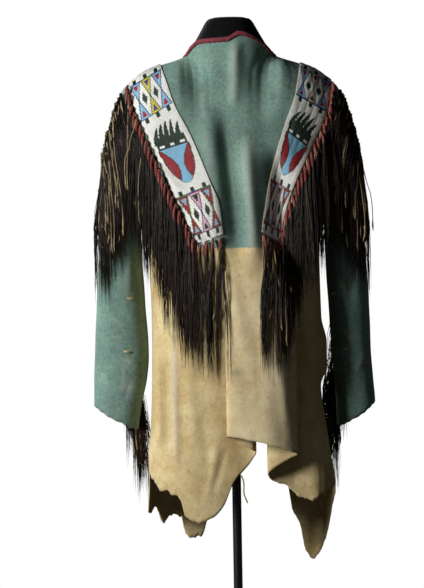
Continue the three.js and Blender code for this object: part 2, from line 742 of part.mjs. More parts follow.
// Triangles of the cloth that hair may lie on, for finding how far it stands out
function trianglesOf(geometry) {
  const flat = geometry.toNonIndexed().getAttribute("position");
  const list = [];
  for (let i = 0; i < flat.count; i += 3) {
    list.push([0, 1, 2].map((k) => new THREE.Vector3().fromBufferAttribute(flat, i + k)));
  }
  return list;
}

function outermost(triangles, side, x, z) {
  let best = 0;
  triangles.forEach(([a, b, c]) => {
    if (x < Math.min(a.x, b.x, c.x) || x > Math.max(a.x, b.x, c.x)) return;
    if (z < Math.min(a.z, b.z, c.z) || z > Math.max(a.z, b.z, c.z)) return;
    const area = (b.x - a.x) * (c.z - a.z) - (c.x - a.x) * (b.z - a.z);
    if (Math.abs(area) < 1e-9) return;
    const s = ((x - a.x) * (c.z - a.z) - (c.x - a.x) * (z - a.z)) / area;
    const t = ((b.x - a.x) * (z - a.z) - (x - a.x) * (b.z - a.z)) / area;
    if (s < 0 || t < 0 || s + t > 1) return;
    best = Math.max(best, side * (a.y + s * (b.y - a.y) + t * (c.y - a.y)));
  });
  return best;
}

// Even-looking but uneven numbers from 0 to 1 for a row of locks
const scatter = (i, seed) => ((Math.sin(i * 12.9898 + seed * 78.233) * 43758.5453) % 1 + 1) % 1;

function solidOf(geometry) {
  const merged = mergeVertices(geometry, 1e-4);
  return new wasm.Manifold(new wasm.Mesh({
    numProp: 3,
    vertProperties: new Float32Array(merged.getAttribute("position").array),
    triVerts: new Uint32Array(merged.getIndex().array),
  }));
}

function geometryOf(solid) {
  const mesh = solid.getMesh();
  const geometry = new THREE.BufferGeometry();
  geometry.setAttribute("position", new THREE.Float32BufferAttribute(mesh.vertProperties, 3));
  geometry.setIndex(Array.from(mesh.triVerts));
  return geometry;
}

// Prism through rings of equally many points, closed at both ends
function loft(rings) {
  const sides = rings[0].length;
  const points = rings.flat();
  const index = [];
  for (let i = 0; i < rings.length - 1; i += 1) {
    for (let j = 0; j < sides; j += 1) {
      const a = i * sides + j;
      const b = i * sides + ((j + 1) % sides);
      index.push(a, b, b + sides, a, b + sides, a + sides);
    }
  }
  const last = (rings.length - 1) * sides;
  for (let j = 1; j < sides - 1; j += 1) {
    index.push(0, j + 1, j, last, last + j, last + j + 1);
  }
  const geometry = new THREE.BufferGeometry();
  geometry.setAttribute("position",
    new THREE.Float32BufferAttribute(points.flatMap((p) => [p.x, p.y, p.z]), 3));
  geometry.setIndex(index);
  return geometry;
}

// Faces of a closed geometry turned outward
function facingOut(geometry) {
  const flat = trianglesOf(geometry);
  const volume = flat.reduce((sum, [a, b, c]) => sum + a.dot(b.clone().cross(c)), 0);
  if (volume > 0) return geometry;
  const index = Array.from(geometry.getIndex().array);
  for (let i = 0; i < index.length; i += 3) {
    [index[i + 1], index[i + 2]] = [index[i + 2], index[i + 1]];
  }
  geometry.setIndex(index);
  return geometry;
}

// One lock hung from a root: it drifts to its own lane and rests on the cloth under it
function makeLock(root, foot, side, length, cloth) {
  const laneAt = (down) => mix(root.x, foot, smooth(down * 2));
  const needed = (down, wide, deep) => Math.max(...[-wide / 2, 0, wide / 2].map(
    (shift) => outermost(cloth, side, laneAt(down) + shift, root.z - length * down),
  )) + LOCK_CLEARANCE + deep / 3;
  const reach = LOCK_PROFILE.map(({ down, wide, deep }, i) => (
    i === 0 ? side * root.y : needed(down, wide, deep)
  ));
  for (let i = 1; i < reach.length; i += 1) {
    reach[i] = Math.max(reach[i], reach[i - 1]);
    const from = LOCK_PROFILE[i - 1];
    const to = LOCK_PROFILE[i];
    evenly(i > 1 ? 0 : 0.4, 1, LOCK_SAMPLES).forEach((t) => {
      const [down, wide, deep] = ["down", "wide", "deep"].map((key) => mix(from[key], to[key], t));
      const missing = needed(down, wide, deep) - mix(reach[i - 1], reach[i], t);
      if (missing > 0 && i > 1) reach[i - 1] += missing;
      if (missing > 0) reach[i] += i > 1 ? missing : missing / t;
    });
  }
  const rings = LOCK_PROFILE.map(({ down, wide, deep }, i) => {
    const centre = new THREE.Vector3(laneAt(down), side * reach[i], root.z - length * down);
    return [[-wide / 2, -deep / 3], [wide / 2, -deep / 3], [0, (deep * 2) / 3]].map(
      ([across, out]) => centre.clone().add(new THREE.Vector3(across, side * out, 0)),
    );
  });
  return facingOut(loft(rings));
}

const cloths = [backPanel, frontPanel, sleeveOf.left, sleeveOf.right];
const clothTriangles = cloths.flatMap((cloth) => trianglesOf(cloth.geometry));

// A cloth's wall grown by the seam gap on both faces, for trimming what lies on it
function grownWall(cloth) {
  const closed = cloth.aside !== undefined;
  const grow = (grid, direction) => grid.map((line, i) => line.map(
    (p, j) => moved(p, cloth.normals[i][j], direction * SEAM_GAP),
  ));
  const geometry = wallGeometry(grow(cloth.outer, 1), grow(cloth.inner, -1), closed, false);
  return solidOf(facingOut(geometry));
}

const walls = cloths.map((cloth) => solidOf(facingOut(cloth.geometry)));
const grownWalls = cloths.map(grownWall);

// The largest body of a solid once the cloth under it is cut away
function trimmed(solid) {
  const cut = [...walls, ...grownWalls].reduce((left, wall) => left.subtract(wall), solid);
  const bodies = cut.decompose();
  const largest = bodies.reduce((best, body) => (body.volume() > best.volume() ? body : best));
  return geometryOf(largest);
}

// A lock at each place, its root inside the backing that runs through them all
function hangLocks(backing, places, under, lanes) {
  return places.reduce((solid, place, i) => {
    const root = laidOn(place, LAY_GAP + BAND_THICKNESS / 2);
    const { foot, side, length } = lanes(i, root);
    return solid.add(solidOf(makeLock(root, foot, side, length, under)));
  }, backing);
}

// Fringe of a body band: along its outer edge and round its lower end
function makeBandFringe(name, side, edgeCount) {
  const near = [1, BACKING_OFFSET];
  const far = [1, BACKING_OFFSET + BACKING_WIDTH];
  const edge = bandLines(name, near, far);
  const [endInner, endOuter] = bandLine(name, 1, [0, 0], far);
  const below = (p, distance) => moved(p, upward, -distance);
  const end = [BACKING_OFFSET, BACKING_OFFSET + BACKING_WIDTH]
    .map((distance) => [below(endInner, distance), below(endOuter, distance)]);
  const corner = bandLine(name, 1, near, far);
  const turn = [corner, corner.map((p) => below(p, BACKING_OFFSET + BACKING_WIDTH))];
  const strips = [edge, turn, end].map((lines) => cutLayer(side, lines, BACKING_STARTS_Y));
  const backing = strips[0].add(strips[1]).add(strips[2]);
  const middle = BACKING_OFFSET + BACKING_WIDTH / 2;
  const placeOf = (p) => {
    const { u, row } = locate(side, p.x, p.z);
    return onFacets(panelOf[side], u, row, false);
  };
  const places = [
    ...evenly(0.07, 0.99, edgeCount - 1).map((along) => bandLine(name, along, [1, middle], [1, middle])[0]),
    ...evenly(0.74, 0.16, LOCKS_BAND_END - 1).map((across) => (
      below(endInner.clone().lerp(endOuter, across), middle)
    )),
  ].map(placeOf);
  return hangLocks(backing, places, clothTriangles, (i, root) => ({
    foot: root.x,
    side,
    length: LOCK_LENGTH * mix(0.9, 1.08, scatter(i, 2 + side)),
  }));
}

// Fringe of a sleeve band: over the back of the upper sleeve, then down its front
function makeSleeveFringe(name) {
  const sleeve = sleeveOf[name];
  const [behind, before] = SLEEVE_BACKING_ANGLES;
  const places = [
    ...evenly(SLEEVE_LOCKS.back.from, SLEEVE_LOCKS.back.to, SLEEVE_LOCKS.back.count - 1),
    ...evenly(SLEEVE_LOCKS.front.from, SLEEVE_LOCKS.front.to, SLEEVE_LOCKS.front.count - 1),
  ].map((z) => sleevePlace(sleeve, sleeveBandEdge(z) + (behind + before) / 2, z));
  const backingHeights = evenly(SLEEVE_LOCKS.back.from + 8, SLEEVE_LOCKS.front.to - 10, SLEEVE_BAND_STEPS);
  const grownBand = makeSleeveBand(name, SEAM_GAP);
  const under = [...clothTriangles, ...trianglesOf(geometryOf(grownBand))];
  const backing = cutSleeveLayer(name, backingHeights, SLEEVE_BACKING_ANGLES);
  const solid = hangLocks(backing, places, under, (i) => {
    const hangsBehind = i < SLEEVE_LOCKS.back.count;
    const row = hangsBehind ? SLEEVE_LOCKS.back : SLEEVE_LOCKS.front;
    const order = hangsBehind ? i : i - SLEEVE_LOCKS.back.count;
    return {
      foot: sleeve.aside * mix(row.footFrom, row.footTo, order / (row.count - 1)),
      side: hangsBehind ? BACK : FRONT,
      length: LOCK_LENGTH * mix(0.9, 1.06, scatter(i, 5)),
    };
  });
  return solid.subtract(grownBand);
}

// Wool binding: a folded strip over the neckline's edge, all round the neck
const BINDING_SECTION = [
  { out: 1.1, down: 9 },
  { out: 2.5, down: 9 },
  { out: 2.1, down: -2 },
  { out: -4.3, down: -2 },
  { out: -4.8, down: 4 },
  { out: -3.5, down: 4 },
  { out: -3.3, down: -0.6 },
  { out: 1, down: -0.6 },
];

function makeBinding() {
  const backNeck = backColumns.filter((u) => Math.abs(u) <= NECK_ACROSS + 1e-9);
  const frontNeck = frontColumns.filter((u) => Math.abs(u) < NECK_ACROSS - 1e-9).reverse();
  const stations = [
    ...backNeck.map((u) => ({ side: BACK, u })),
    ...frontNeck.map((u) => ({ side: FRONT, u })),
  ];
  const edge = stations.map(({ side, u }) => {
    const point = panelPoint(side, u, 0);
    if (Math.abs(point.y) < SEAM_GAP) point.y = 0;
    return point;
  });
  const rings = stations.map(({ side, u }, i) => {
    const before = edge[(i + edge.length - 1) % edge.length];
    const after = edge[(i + 1) % edge.length];
    const forward = new THREE.Vector3().subVectors(after, before).normalize();
    const atCorner = edge[i].y === 0;
    const column = panelOf[side].columns.indexOf(u);
    const out = atCorner ? upward.clone() : panelOf[side].normals[0][column].clone();
    out.addScaledVector(forward, -out.dot(forward)).normalize();
    const down = new THREE.Vector3().crossVectors(out, forward).normalize();
    if (atCorner ? down.x * edge[i].x < 0 : down.z > 0) down.negate();
    return BINDING_SECTION.map((corner) => edge[i].clone()
      .addScaledVector(out, corner.out)
      .addScaledVector(down, corner.down));
  });
  const sides = BINDING_SECTION.length;
  const index = [];
  rings.forEach((_, i) => {
    const next = (i + 1) % rings.length;
    for (let j = 0; j < sides; j += 1) {
      const k = (j + 1) % sides;
      index.push(i * sides + j, i * sides + k, next * sides + k);
      index.push(i * sides + j, next * sides + k, next * sides + j);
    }
  });
  const geometry = new THREE.BufferGeometry();
  geometry.setAttribute("position",
    new THREE.Float32BufferAttribute(rings.flat().flatMap((p) => [p.x, p.y, p.z]), 3));
  geometry.setIndex(index);
  return solidOf(facingOut(geometry));
}

// Limbless form: half width, and how deep its back and its chest are
const FORM = [
  { z: FORM_BOTTOM_Z, wide: 124, back: 84, front: 84, power: 2 },
  { z: 850, wide: 132, back: 90, front: 90, power: 2 },
  { z: 920, wide: 134, back: 91, front: 92, power: 2 },
  { z: 1010, wide: 138, back: 87, front: 94, power: 2 },
  { z: 1110, wide: 150, back: 88, front: 98, power: 2 },
  { z: 1233, wide: 166, back: 86, front: 97, power: 2 },
  { z: 1290, wide: 172, back: 80, front: 88, power: 2 },
  { z: 1325, wide: 176, back: 72, front: 72, power: 1.9 },
  { z: 1345, wide: 176, back: 68, front: 66, power: 1.65 },
  { z: 1360, wide: 176, back: 63, front: 62, power: 1.4 },
  { z: 1370, wide: 176, back: 61, front: 58, power: 1.2 },
  { z: 1380, wide: 176, back: 61, front: 56, power: 1.05 },
  { z: 1385, wide: 100, back: 60, front: 56, power: 1.1 },
  { z: 1389, wide: 83, back: 60, front: 57, power: 1.6 },
  { z: 1400, wide: 79, back: 59, front: 58, power: 2 },
  { z: 1418, wide: 72, back: 58, front: 60, power: 2 },
  { z: 1432, wide: 64, back: 54, front: 56, power: 2 },
  { z: 1448, wide: 55, back: 48, front: 50, power: 2 },
  { z: 1462, wide: 47, back: 41, front: 43, power: 2 },
  { z: 1468, wide: 41, back: 36, front: 37, power: 2 },
  { z: 1471, wide: 33, back: 28, front: 29, power: 2 },
];

// Half width that the shoulder seam leaves for the form under it
function underShoulder(z) {
  const seat = z + HIDE_THICKNESS + FORM_CLEARANCE;
  let low = NECK_HALF_WIDTH;
  let high = SHOULDER_HALF_WIDTH;
  for (let step = 0; step < HALVINGS; step += 1) {
    const middle = (low + high) / 2;
    if (topOf[BACK](middle) > seat) low = middle;
    else high = middle;
  }
  return low;
}

function makeForm() {
  const rounded = (value, power) => Math.sign(value) * Math.abs(value) ** (2 / power);
  const rings = FORM.map(({ z, wide, back, front, power }) => {
    const half = z < FORM_NECK_Z ? Math.min(wide, underShoulder(z)) : wide;
    return evenly(0, 2 * Math.PI, FORM_SIDES).slice(0, -1).map((angle) => {
      const out = rounded(Math.sin(angle), power);
      return new THREE.Vector3(half * rounded(Math.cos(angle), power), out * (out < 0 ? back : front), z);
    });
  });
  return loft(rings);
}

function makePole() {
  const bottom = BASE_HEIGHT + SEAM_GAP;
  const top = FORM_BOTTOM_Z - SEAM_GAP;
  const pole = new THREE.CylinderGeometry(POLE_RADIUS, POLE_RADIUS, top - bottom, STAND_SIDES);
  pole.rotateX(Math.PI / 2);
  pole.translate(0, 0, (top + bottom) / 2);
  return pole;
}

function makeBase() {
  const rim = [
    [0, 0],
    [BASE_RADIUS, 0],
    [BASE_RADIUS, BASE_HEIGHT - 4],
    [BASE_RADIUS - 4, BASE_HEIGHT],
    [0, BASE_HEIGHT],
  ].map(([r, z]) => new THREE.Vector2(r, z));
  const base = new THREE.LatheGeometry(rim, STAND_SIDES);
  base.rotateX(Math.PI / 2);
  return base;
}

const parts = new THREE.Group();

function addPiece(name, geometry, colour, roughness, metalness = 0) {
  const material = new THREE.MeshStandardMaterial({ color: colour, roughness, metalness });
  const mesh = new THREE.Mesh(geometry, material);
  mesh.name = name;
  parts.add(mesh);
}

const PAINTED_HIDE = 0x6f8c80;
const BEAD_WHITE = 0xe6e6e0;
const HAIR = 0x2a2420;

addPiece("shirt_back", facingOut(backPanel.geometry), PAINTED_HIDE, 0.9);
addPiece("shirt_front", facingOut(frontPanel.geometry), PAINTED_HIDE, 0.9);
Object.entries(sleeveOf).forEach(([name, sleeve]) => {
  addPiece(`sleeve_${name}`, facingOut(sleeve.geometry), PAINTED_HIDE, 0.9);
  addPiece(`bead_strip_${name}`, trimmed(makeBand(name)), BEAD_WHITE, 0.4);
  addPiece(`sleeve_strip_${name}`, trimmed(makeSleeveBand(name)), BEAD_WHITE, 0.4);
  addPiece(`fringe_back_${name}`, trimmed(makeBandFringe(name, BACK, LOCKS_BACK_EDGE)), HAIR, 0.5);
  addPiece(`fringe_front_${name}`, trimmed(makeBandFringe(name, FRONT, LOCKS_FRONT_EDGE)), HAIR, 0.5);
  addPiece(`fringe_sleeve_${name}`, trimmed(makeSleeveFringe(name)), HAIR, 0.5);
});

addPiece("neck_binding", trimmed(makeBinding()), 0x8b2f38, 0.95);
addPiece("dress_form", facingOut(makeForm()), 0x141416, 0.9);
addPiece("stand_pole", makePole(), 0x111112, 0.4, 0.3);
addPiece("stand_base", facingOut(makeBase()), 0x111112, 0.4, 0.3);

export default parts;
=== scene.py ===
"""Painted hide war shirt with beaded bands and hair locks, on a limbless dress form and stand."""

import math

import bpy
import numpy as np
from mathutils import Matrix, Vector


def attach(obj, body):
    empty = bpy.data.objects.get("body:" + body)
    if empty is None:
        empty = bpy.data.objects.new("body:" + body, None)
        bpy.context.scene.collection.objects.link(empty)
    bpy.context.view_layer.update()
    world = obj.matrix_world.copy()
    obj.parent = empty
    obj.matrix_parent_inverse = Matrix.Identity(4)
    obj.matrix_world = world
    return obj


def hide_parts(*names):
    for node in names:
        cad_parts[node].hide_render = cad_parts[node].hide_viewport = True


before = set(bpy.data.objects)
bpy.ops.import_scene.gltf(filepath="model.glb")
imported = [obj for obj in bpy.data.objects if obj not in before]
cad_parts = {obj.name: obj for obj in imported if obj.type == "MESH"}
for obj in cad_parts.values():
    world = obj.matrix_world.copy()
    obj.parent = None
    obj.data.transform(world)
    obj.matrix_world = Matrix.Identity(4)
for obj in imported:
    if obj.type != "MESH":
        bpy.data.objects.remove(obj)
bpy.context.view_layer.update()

bl_info = {
    "name": "Plains war shirt",
    "version": (1, 0, 0),
    "blender": (4, 5, 0),
    "location": "View3D > Sidebar > Shirt",
    "description": "Builds the hides, beadwork, hair locks, neck edging, form and stand of a war shirt",
    "category": "Object",
}

MM = 0.001
BACK = -1
FRONT = 1
BODY_NAME = "root"
SEED = 11

# Shoulder line, neck and armholes, in millimetres, as in the solids
SHOULDER_HALF_WIDTH = 208
NECK_HALF_WIDTH = 91
NECK_DEPTH = {BACK: 74, FRONT: 86}
YOKE_FROM_X = 62
YOKE_WIDTH = 48
ARMHOLE_MIDDLE_Z = 1233
ARMHOLE_HALF_HEIGHT = 103
ARMHOLE_HALF_DEPTH = 75
PLAN_POWER = 2.6
PAINT_LINE_Z = 1009


def table(names, rows):
    """Columns of a short table by name."""
    return dict(zip(names.split(), np.array(rows, float).T))


BODY = table("z left right back front", [
    (380, 178, 192, 118, 118), (480, 178, 198, 120, 120), (540, 175, 198, 121, 121),
    (600, 175, 189, 121, 122), (650, 170, 182, 121, 122), (735, 166, 172, 120, 122),
    (770, 165, 185, 119, 121), (820, 164, 185, 119, 121), (870, 164, 175, 119, 120),
    (1000, 168, 173, 121, 121), (1130, 176, 176, 124, 124), (1233, 190, 190, 118, 122),
    (1336, 208, 208, 104, 106)])
TOP = {
    BACK: table("x z", [
        (-208, 1336), (-170, 1365), (-140, 1377), (-91, 1394), (-74, 1415), (-62, 1423), (-4, 1427),
        (19, 1438), (64, 1420), (91, 1394), (140, 1377), (170, 1365), (208, 1336)]),
    FRONT: table("x z", [
        (-208, 1336), (-170, 1365), (-140, 1377), (-91, 1394), (-64, 1370), (0, 1346),
        (64, 1370), (91, 1394), (140, 1377), (170, 1365), (208, 1336)]),
}
PLEAT = table("across x lift", [
    (-0.34, -89, 0), (-0.28, -50, -1), (-0.23, -8, -5), (-0.19, 24, -7), (-0.165, 38, -2),
    (-0.145, 32, 8), (-0.115, 2, 12), (-0.09, -19, 20), (-0.07, -12, 30), (-0.02, 20, 36),
    (0.07, 60, 39), (0.16, 94, 37), (0.22, 113, 31), (0.25, 121, 20), (0.28, 108, 8),
    (0.33, 80, 0), (0.36, 63, -8), (0.39, 70, -19), (0.45, 96, -24), (0.55, 133, -18),
    (0.66, 163, -5)])
PLEAT_STARTS_Z = 1055
PLEAT_FULL_Z = 880
FOLDS = {
    BACK: table("x_top x_bottom z_top z_bottom width lift", [
        (14, 4, 1440, 1270, 13, 7), (-17, 12, 1310, 960, 17, -13), (-48, -30, 1270, 990, 22, 5),
        (28, 44, 1260, 950, 16, 9), (88, 98, 1220, 960, 26, -18), (-95, -104, 1140, 780, 22, -8),
        (-124, -122, 860, 540, 11, 7), (-143, -141, 800, 590, 9, -8), (146, 150, 900, 520, 18, 5)]),
    FRONT: table("x_top x_bottom z_top z_bottom width lift", [
        (-22, -34, 1320, 900, 17, -12), (20, 8, 1330, 700, 20, 10), (66, 84, 1240, 820, 22, -13),
        (-82, -96, 1180, 640, 18, 10), (120, 128, 1040, 470, 16, 11),
        (-140, -148, 980, 560, 13, -8), (-118, -122, 700, 460, 12, 8)]),
}
# Small creases that only the finished hide has: a line, its half width and its lift
CREASES = {
    BACK: table("x_top x_bottom z_top z_bottom width lift", [
        (-150, -96, 1190, 1120, 9, 2.2), (160, 118, 1200, 1120, 10, 2.6),
        (-60, -40, 1350, 1240, 12, 1.6), (-8, 18, 1010, 800, 9, 1.2), (40, 52, 900, 640, 12, -1.6),
        (84, 100, 860, 640, 10, 1.8), (-96, -84, 900, 560, 15, 2.4), (-70, -46, 700, 500, 12, -2.4),
        (-36, -60, 640, 500, 8, 2.2), (-18, -50, 620, 520, 7, -2.2), (136, 128, 760, 540, 9, 2),
        (170, 165, 980, 800, 8, -3), (-150, -158, 760, 560, 8, 2.6), (104, 120, 1120, 1030, 10, 2)]),
    FRONT: table("x_top x_bottom z_top z_bottom width lift", [
        (0, -8, 1300, 1120, 10, 2), (-60, -40, 1280, 1100, 13, -2), (60, 40, 1290, 1090, 13, 2),
        (-120, -112, 1000, 700, 12, 2.5), (30, 44, 900, 690, 12, -2.4), (-50, -60, 900, 560, 13, 2.4),
        (100, 106, 800, 500, 10, -2.4), (-20, -12, 800, 640, 10, 2), (150, 146, 900, 600, 10, -3)]),
}
HEM = {
    BACK: table("across z", [
        (-1, 571), (-0.726, 543), (-0.663, 529), (-0.609, 533), (-0.528, 525), (-0.447, 517),
        (-0.425, 504), (-0.39, 478), (-0.33, 471), (-0.306, 470), (-0.269, 482), (-0.25, 502),
        (-0.229, 545), (-0.189, 582), (-0.165, 604), (-0.145, 610), (-0.115, 624), (-0.09, 638),
        (-0.02, 632), (0.07, 622), (0.16, 612), (0.25, 600), (0.33, 577), (0.36, 562), (0.39, 550),
        (0.45, 538), (0.55, 511), (0.62, 508), (0.7, 519), (0.8, 530), (1, 537)]),
    FRONT: table("across z", [
        (-1, 486), (-0.85, 482), (-0.76, 494), (-0.624, 458), (-0.55, 474), (-0.434, 470),
        (-0.405, 434), (-0.34, 426), (-0.27, 428), (-0.23, 452), (-0.166, 545), (-0.073, 612),
        (0, 640), (0.136, 655), (0.26, 640), (0.35, 540), (0.393, 476), (0.457, 448), (0.503, 402),
        (0.552, 386), (0.606, 381), (0.655, 394), (0.73, 420), (0.8, 464), (0.88, 500), (1, 520)]),
}
SLEEVE = {
    "left": table("z outer inner depth", [
        (640, 280, 196, 40), (700, 282, 187, 42), (750, 281, 176, 44), (800, 279, 171, 46),
        (900, 274, 176, 50), (1000, 268, 181, 54), (1060, 262, 183, 57)]),
    "right": table("z outer inner depth", [
        (640, 280, 204, 44), (700, 280, 202, 46), (750, 276, 199, 48), (800, 273, 195, 50),
        (900, 271, 189, 52), (1000, 266, 184, 54), (1060, 262, 183, 57)]),
}
ASIDE = {"left": -1, "right": 1}
SLEEVE_BEND_Z = 1060
SLEEVE_PLAN_POWER = 2.3
CUFF_OUTER_Z = 700
CUFF_INNER_Z = 652
# Creases of the sleeves on the side that faces back
SLEEVE_CREASES = {
    "left": table("x_top x_bottom z_top z_bottom width lift", [
        (-222, -190, 800, 768, 7, 2.8), (-206, -222, 752, 712, 6, -2.4), (-250, -214, 880, 850, 8, 1.8),
        (-262, -230, 826, 806, 6, -1.6), (-200, -212, 1040, 900, 9, 2), (-244, -236, 1010, 870, 10, -1.8),
        (-266, -252, 770, 735, 7, 1.6)]),
    "right": table("x_top x_bottom z_top z_bottom width lift", [
        (206, 236, 860, 810, 8, 2.4), (250, 226, 990, 900, 9, -2.2), (262, 240, 800, 760, 7, 2),
        (212, 222, 1040, 930, 9, 2)]),
}
BAND = {
    "left": table("along inner_x inner_z outer_x outer_z", [
        (0, -139, 1377, -201, 1341.5), (0.12, -126, 1337, -192.4, 1301), (0.243, -113, 1297, -176, 1260),
        (0.42, -80.3, 1231, -154, 1208), (0.715, -41.7, 1135, -110.4, 1109), (0.82, -28, 1098, -93.2, 1072),
        (1, -20, 1037, -70, 1020)]),
    "right": table("along inner_x inner_z outer_x outer_z", [
        (0, 141, 1376.6, 201, 1341.5), (0.12, 134.8, 1343, 195.3, 1309), (0.243, 128.7, 1310, 188.2, 1276),
        (0.42, 107.4, 1252, 159.3, 1212), (0.715, 75.2, 1146, 118.3, 1121), (0.82, 67.3, 1106, 105.7, 1083),
        (1, 56, 1040, 92, 1020)]),
}
SLEEVE_BAND = table("z angle", [
    (700, 67), (1000, 61), (1050, 48), (1100, 28), (1150, 8), (1240, -9), (1330, -15)])
SLEEVE_BAND_ANGLE = 43
SLEEVE_BAND_Z = (1318, 716)
FORM = table("z wide back front power", [
    (830, 124, 84, 84, 2), (850, 132, 90, 90, 2), (920, 134, 91, 92, 2), (1010, 138, 87, 94, 2),
    (1110, 150, 88, 98, 2), (1233, 166, 86, 97, 2), (1290, 171, 80, 88, 2), (1325, 174, 71, 72, 1.9),
    (1345, 165, 67, 66, 1.65), (1360, 148, 62, 61, 1.4), (1370, 128, 60, 57, 1.3), (1380, 100, 60, 56, 1.4),
    (1385, 88, 59, 56, 1.6), (1389, 82, 59, 57, 1.8), (1400, 79, 59, 58, 2), (1418, 72, 58, 60, 2),
    (1432, 64, 54, 56, 2), (1448, 55, 48, 50, 2), (1462, 47, 41, 43, 2), (1468, 41, 36, 37, 2),
    (1471, 30, 26, 27, 2)])
FORM_LOW_Z = 830
FORM_TOP_Z = 1472.5
FORM_SIDES = 96
POLE_RADIUS = 9
BASE_RADIUS = 175
BASE_HEIGHT = 10
STAND_GAP = 0.3

HALVINGS = 24
LOCATE_ROUNDS = 3


# Numbers

def mix(a, b, t):
    """Value a share of the way from one to another."""
    return a + (b - a) * t


def smooth(t):
    """Share from 0 to 1 that starts and ends softly."""
    t = np.clip(t, 0, 1)
    return t * t * (3 - 2 * t)


def curve(rows, key, column):
    """Smooth function through a table's rows, which never overshoots them."""
    x, y = rows[key], rows[column]
    slope = np.diff(y) / np.diff(x)
    before, after = slope[:-1], slope[1:]
    total = np.where(before + after == 0, 1, before + after)
    inner = np.where(before * after > 0, 2 * before * after / total, 0)
    tangent = np.concatenate([slope[:1], inner, slope[-1:]])

    def at(value):
        v = np.clip(value, x[0], x[-1])
        i = np.clip(np.searchsorted(x, v, side="right") - 1, 0, len(x) - 2)
        step = x[i + 1] - x[i]
        t = (v - x[i]) / step
        return ((2 * t**3 - 3 * t**2 + 1) * y[i] + (t**3 - 2 * t**2 + t) * step * tangent[i]
                + (3 * t**2 - 2 * t**3) * y[i + 1] + (t**3 - t**2) * step * tangent[i + 1])

    return at


def unit(v):
    """Vectors brought to a length of 1."""
    return v / np.maximum(np.linalg.norm(v, axis=-1, keepdims=True), 1e-9)


def stack(x, y, z):
    """Points of three coordinates, each a number or an array."""
    return np.stack(np.broadcast_arrays(x, y, z), axis=-1)


# The cloth's surfaces

half_left = curve(BODY, "z", "left")
half_right = curve(BODY, "z", "right")
depth_of = {BACK: curve(BODY, "z", "back"), FRONT: curve(BODY, "z", "front")}
edge_of = {side: curve(TOP[side], "x", "z") for side in (BACK, FRONT)}
hem_of = {side: curve(HEM[side], "across", "z") for side in (BACK, FRONT)}
pleat_x = curve(PLEAT, "across", "x")
pleat_lift = curve(PLEAT, "across", "lift")


def top_of(side, x):
    """Height of a hide's top edge; back and front meet along the shoulders."""
    return np.where(np.abs(x) < NECK_HALF_WIDTH, edge_of[side](x), edge_of[BACK](x))


def eased(shape, x, reach, strength):
    """A shape across the body, rounded off over a distance each way as the strength grows."""
    shifts = (-1, -0.66, -0.33, 0, 0.33, 0.66, 1)
    near = sum(shape(x + reach * k) for k in shifts) / len(shifts)
    return mix(shape(x), near, strength)


def fold_lift(rows, x, z):
    """How far soft folds stand out at a place seen from behind."""
    lift = np.zeros(np.broadcast(x, z).shape)
    for k in range(len(rows["lift"])):
        down = (rows["z_top"][k] - z) / (rows["z_top"][k] - rows["z_bottom"][k])
        strength = smooth(down * 4) * smooth((1 - down) * 4)
        offset = (x - mix(rows["x_top"][k], rows["x_bottom"][k], down)) / rows["width"][k]
        lift = lift + rows["lift"][k] * strength * np.exp(-offset * offset)
    return lift


def folds(side, x, z):
    """All of a hide's folds and creases, and a faint ripple."""
    ripple = 0.7 * np.sin(x / 17 + z / 61) * np.sin(z / 43 - x / 90) + 0.4 * np.sin(x / 7.5 + z / 27)
    return fold_lift(FOLDS[side], x, z) + fold_lift(CREASES[side], x, z) + ripple


def plan_depth(depth, edge_depth, part):
    """Depth of the body's rounded plan at a share of its half width."""
    edge = (1 - (edge_depth / depth) ** PLAN_POWER) ** (1 / PLAN_POWER)
    return depth * np.clip(1 - (edge * np.clip(part, 0, 1)) ** PLAN_POWER, 0, 1) ** (1 / PLAN_POWER)


def section(side, u, z):
    """Plan of the body at a height: u runs across from -1 to 1."""
    wide = np.where(u < 0, half_left(z), half_right(z))
    depth = depth_of[side](z)
    part = np.sin(np.abs(u) * math.pi / 2)
    rise = np.clip((z - ARMHOLE_MIDDLE_Z) / ARMHOLE_HALF_HEIGHT, -1, 1)
    x = np.sign(u) * wide * part
    out = plan_depth(depth, ARMHOLE_HALF_DEPTH * np.sqrt(1 - rise * rise), part)
    if side == BACK:
        strength = smooth((PLEAT_STARTS_Z - z) / (PLEAT_STARTS_Z - PLEAT_FULL_Z))
        # Beyond the pleat the hide goes on evenly from its last turn to the side
        last = np.where(u < 0, PLEAT["across"][0], PLEAT["across"][-1])
        last_part = np.sin(np.abs(last) * math.pi / 2)
        beyond = np.clip((part - last_part) / (1 - last_part), 0, 1)
        folded_x = mix(pleat_x(u), np.sign(u) * wide, beyond)
        folded_out = plan_depth(depth, 0, np.abs(folded_x) / wide) + pleat_lift(u) * (1 - smooth(beyond * 2))
        x, out = mix(x, folded_x, strength), mix(out, folded_out, strength)
    return x, out, smooth((1 - np.abs(u)) * 8)


def ragged(u, side):
    """Small unevenness of the raw lower edge."""
    rough = 1.6 * np.sin(u * 61 + side) + 1.1 * np.sin(u * 143) + 0.8 * np.sin(u * 287 + 2)
    # The box fold's edge was cut straight
    return rough * (mix(0.3, 1, smooth((np.abs(u - 0.08) - 0.3) * 9)) if side == BACK else 1)


def neck_round(x):
    """Share of the neck's depth at a place across it."""
    return np.sqrt(np.clip(1 - (x / NECK_HALF_WIDTH) ** 2, 0, 1))


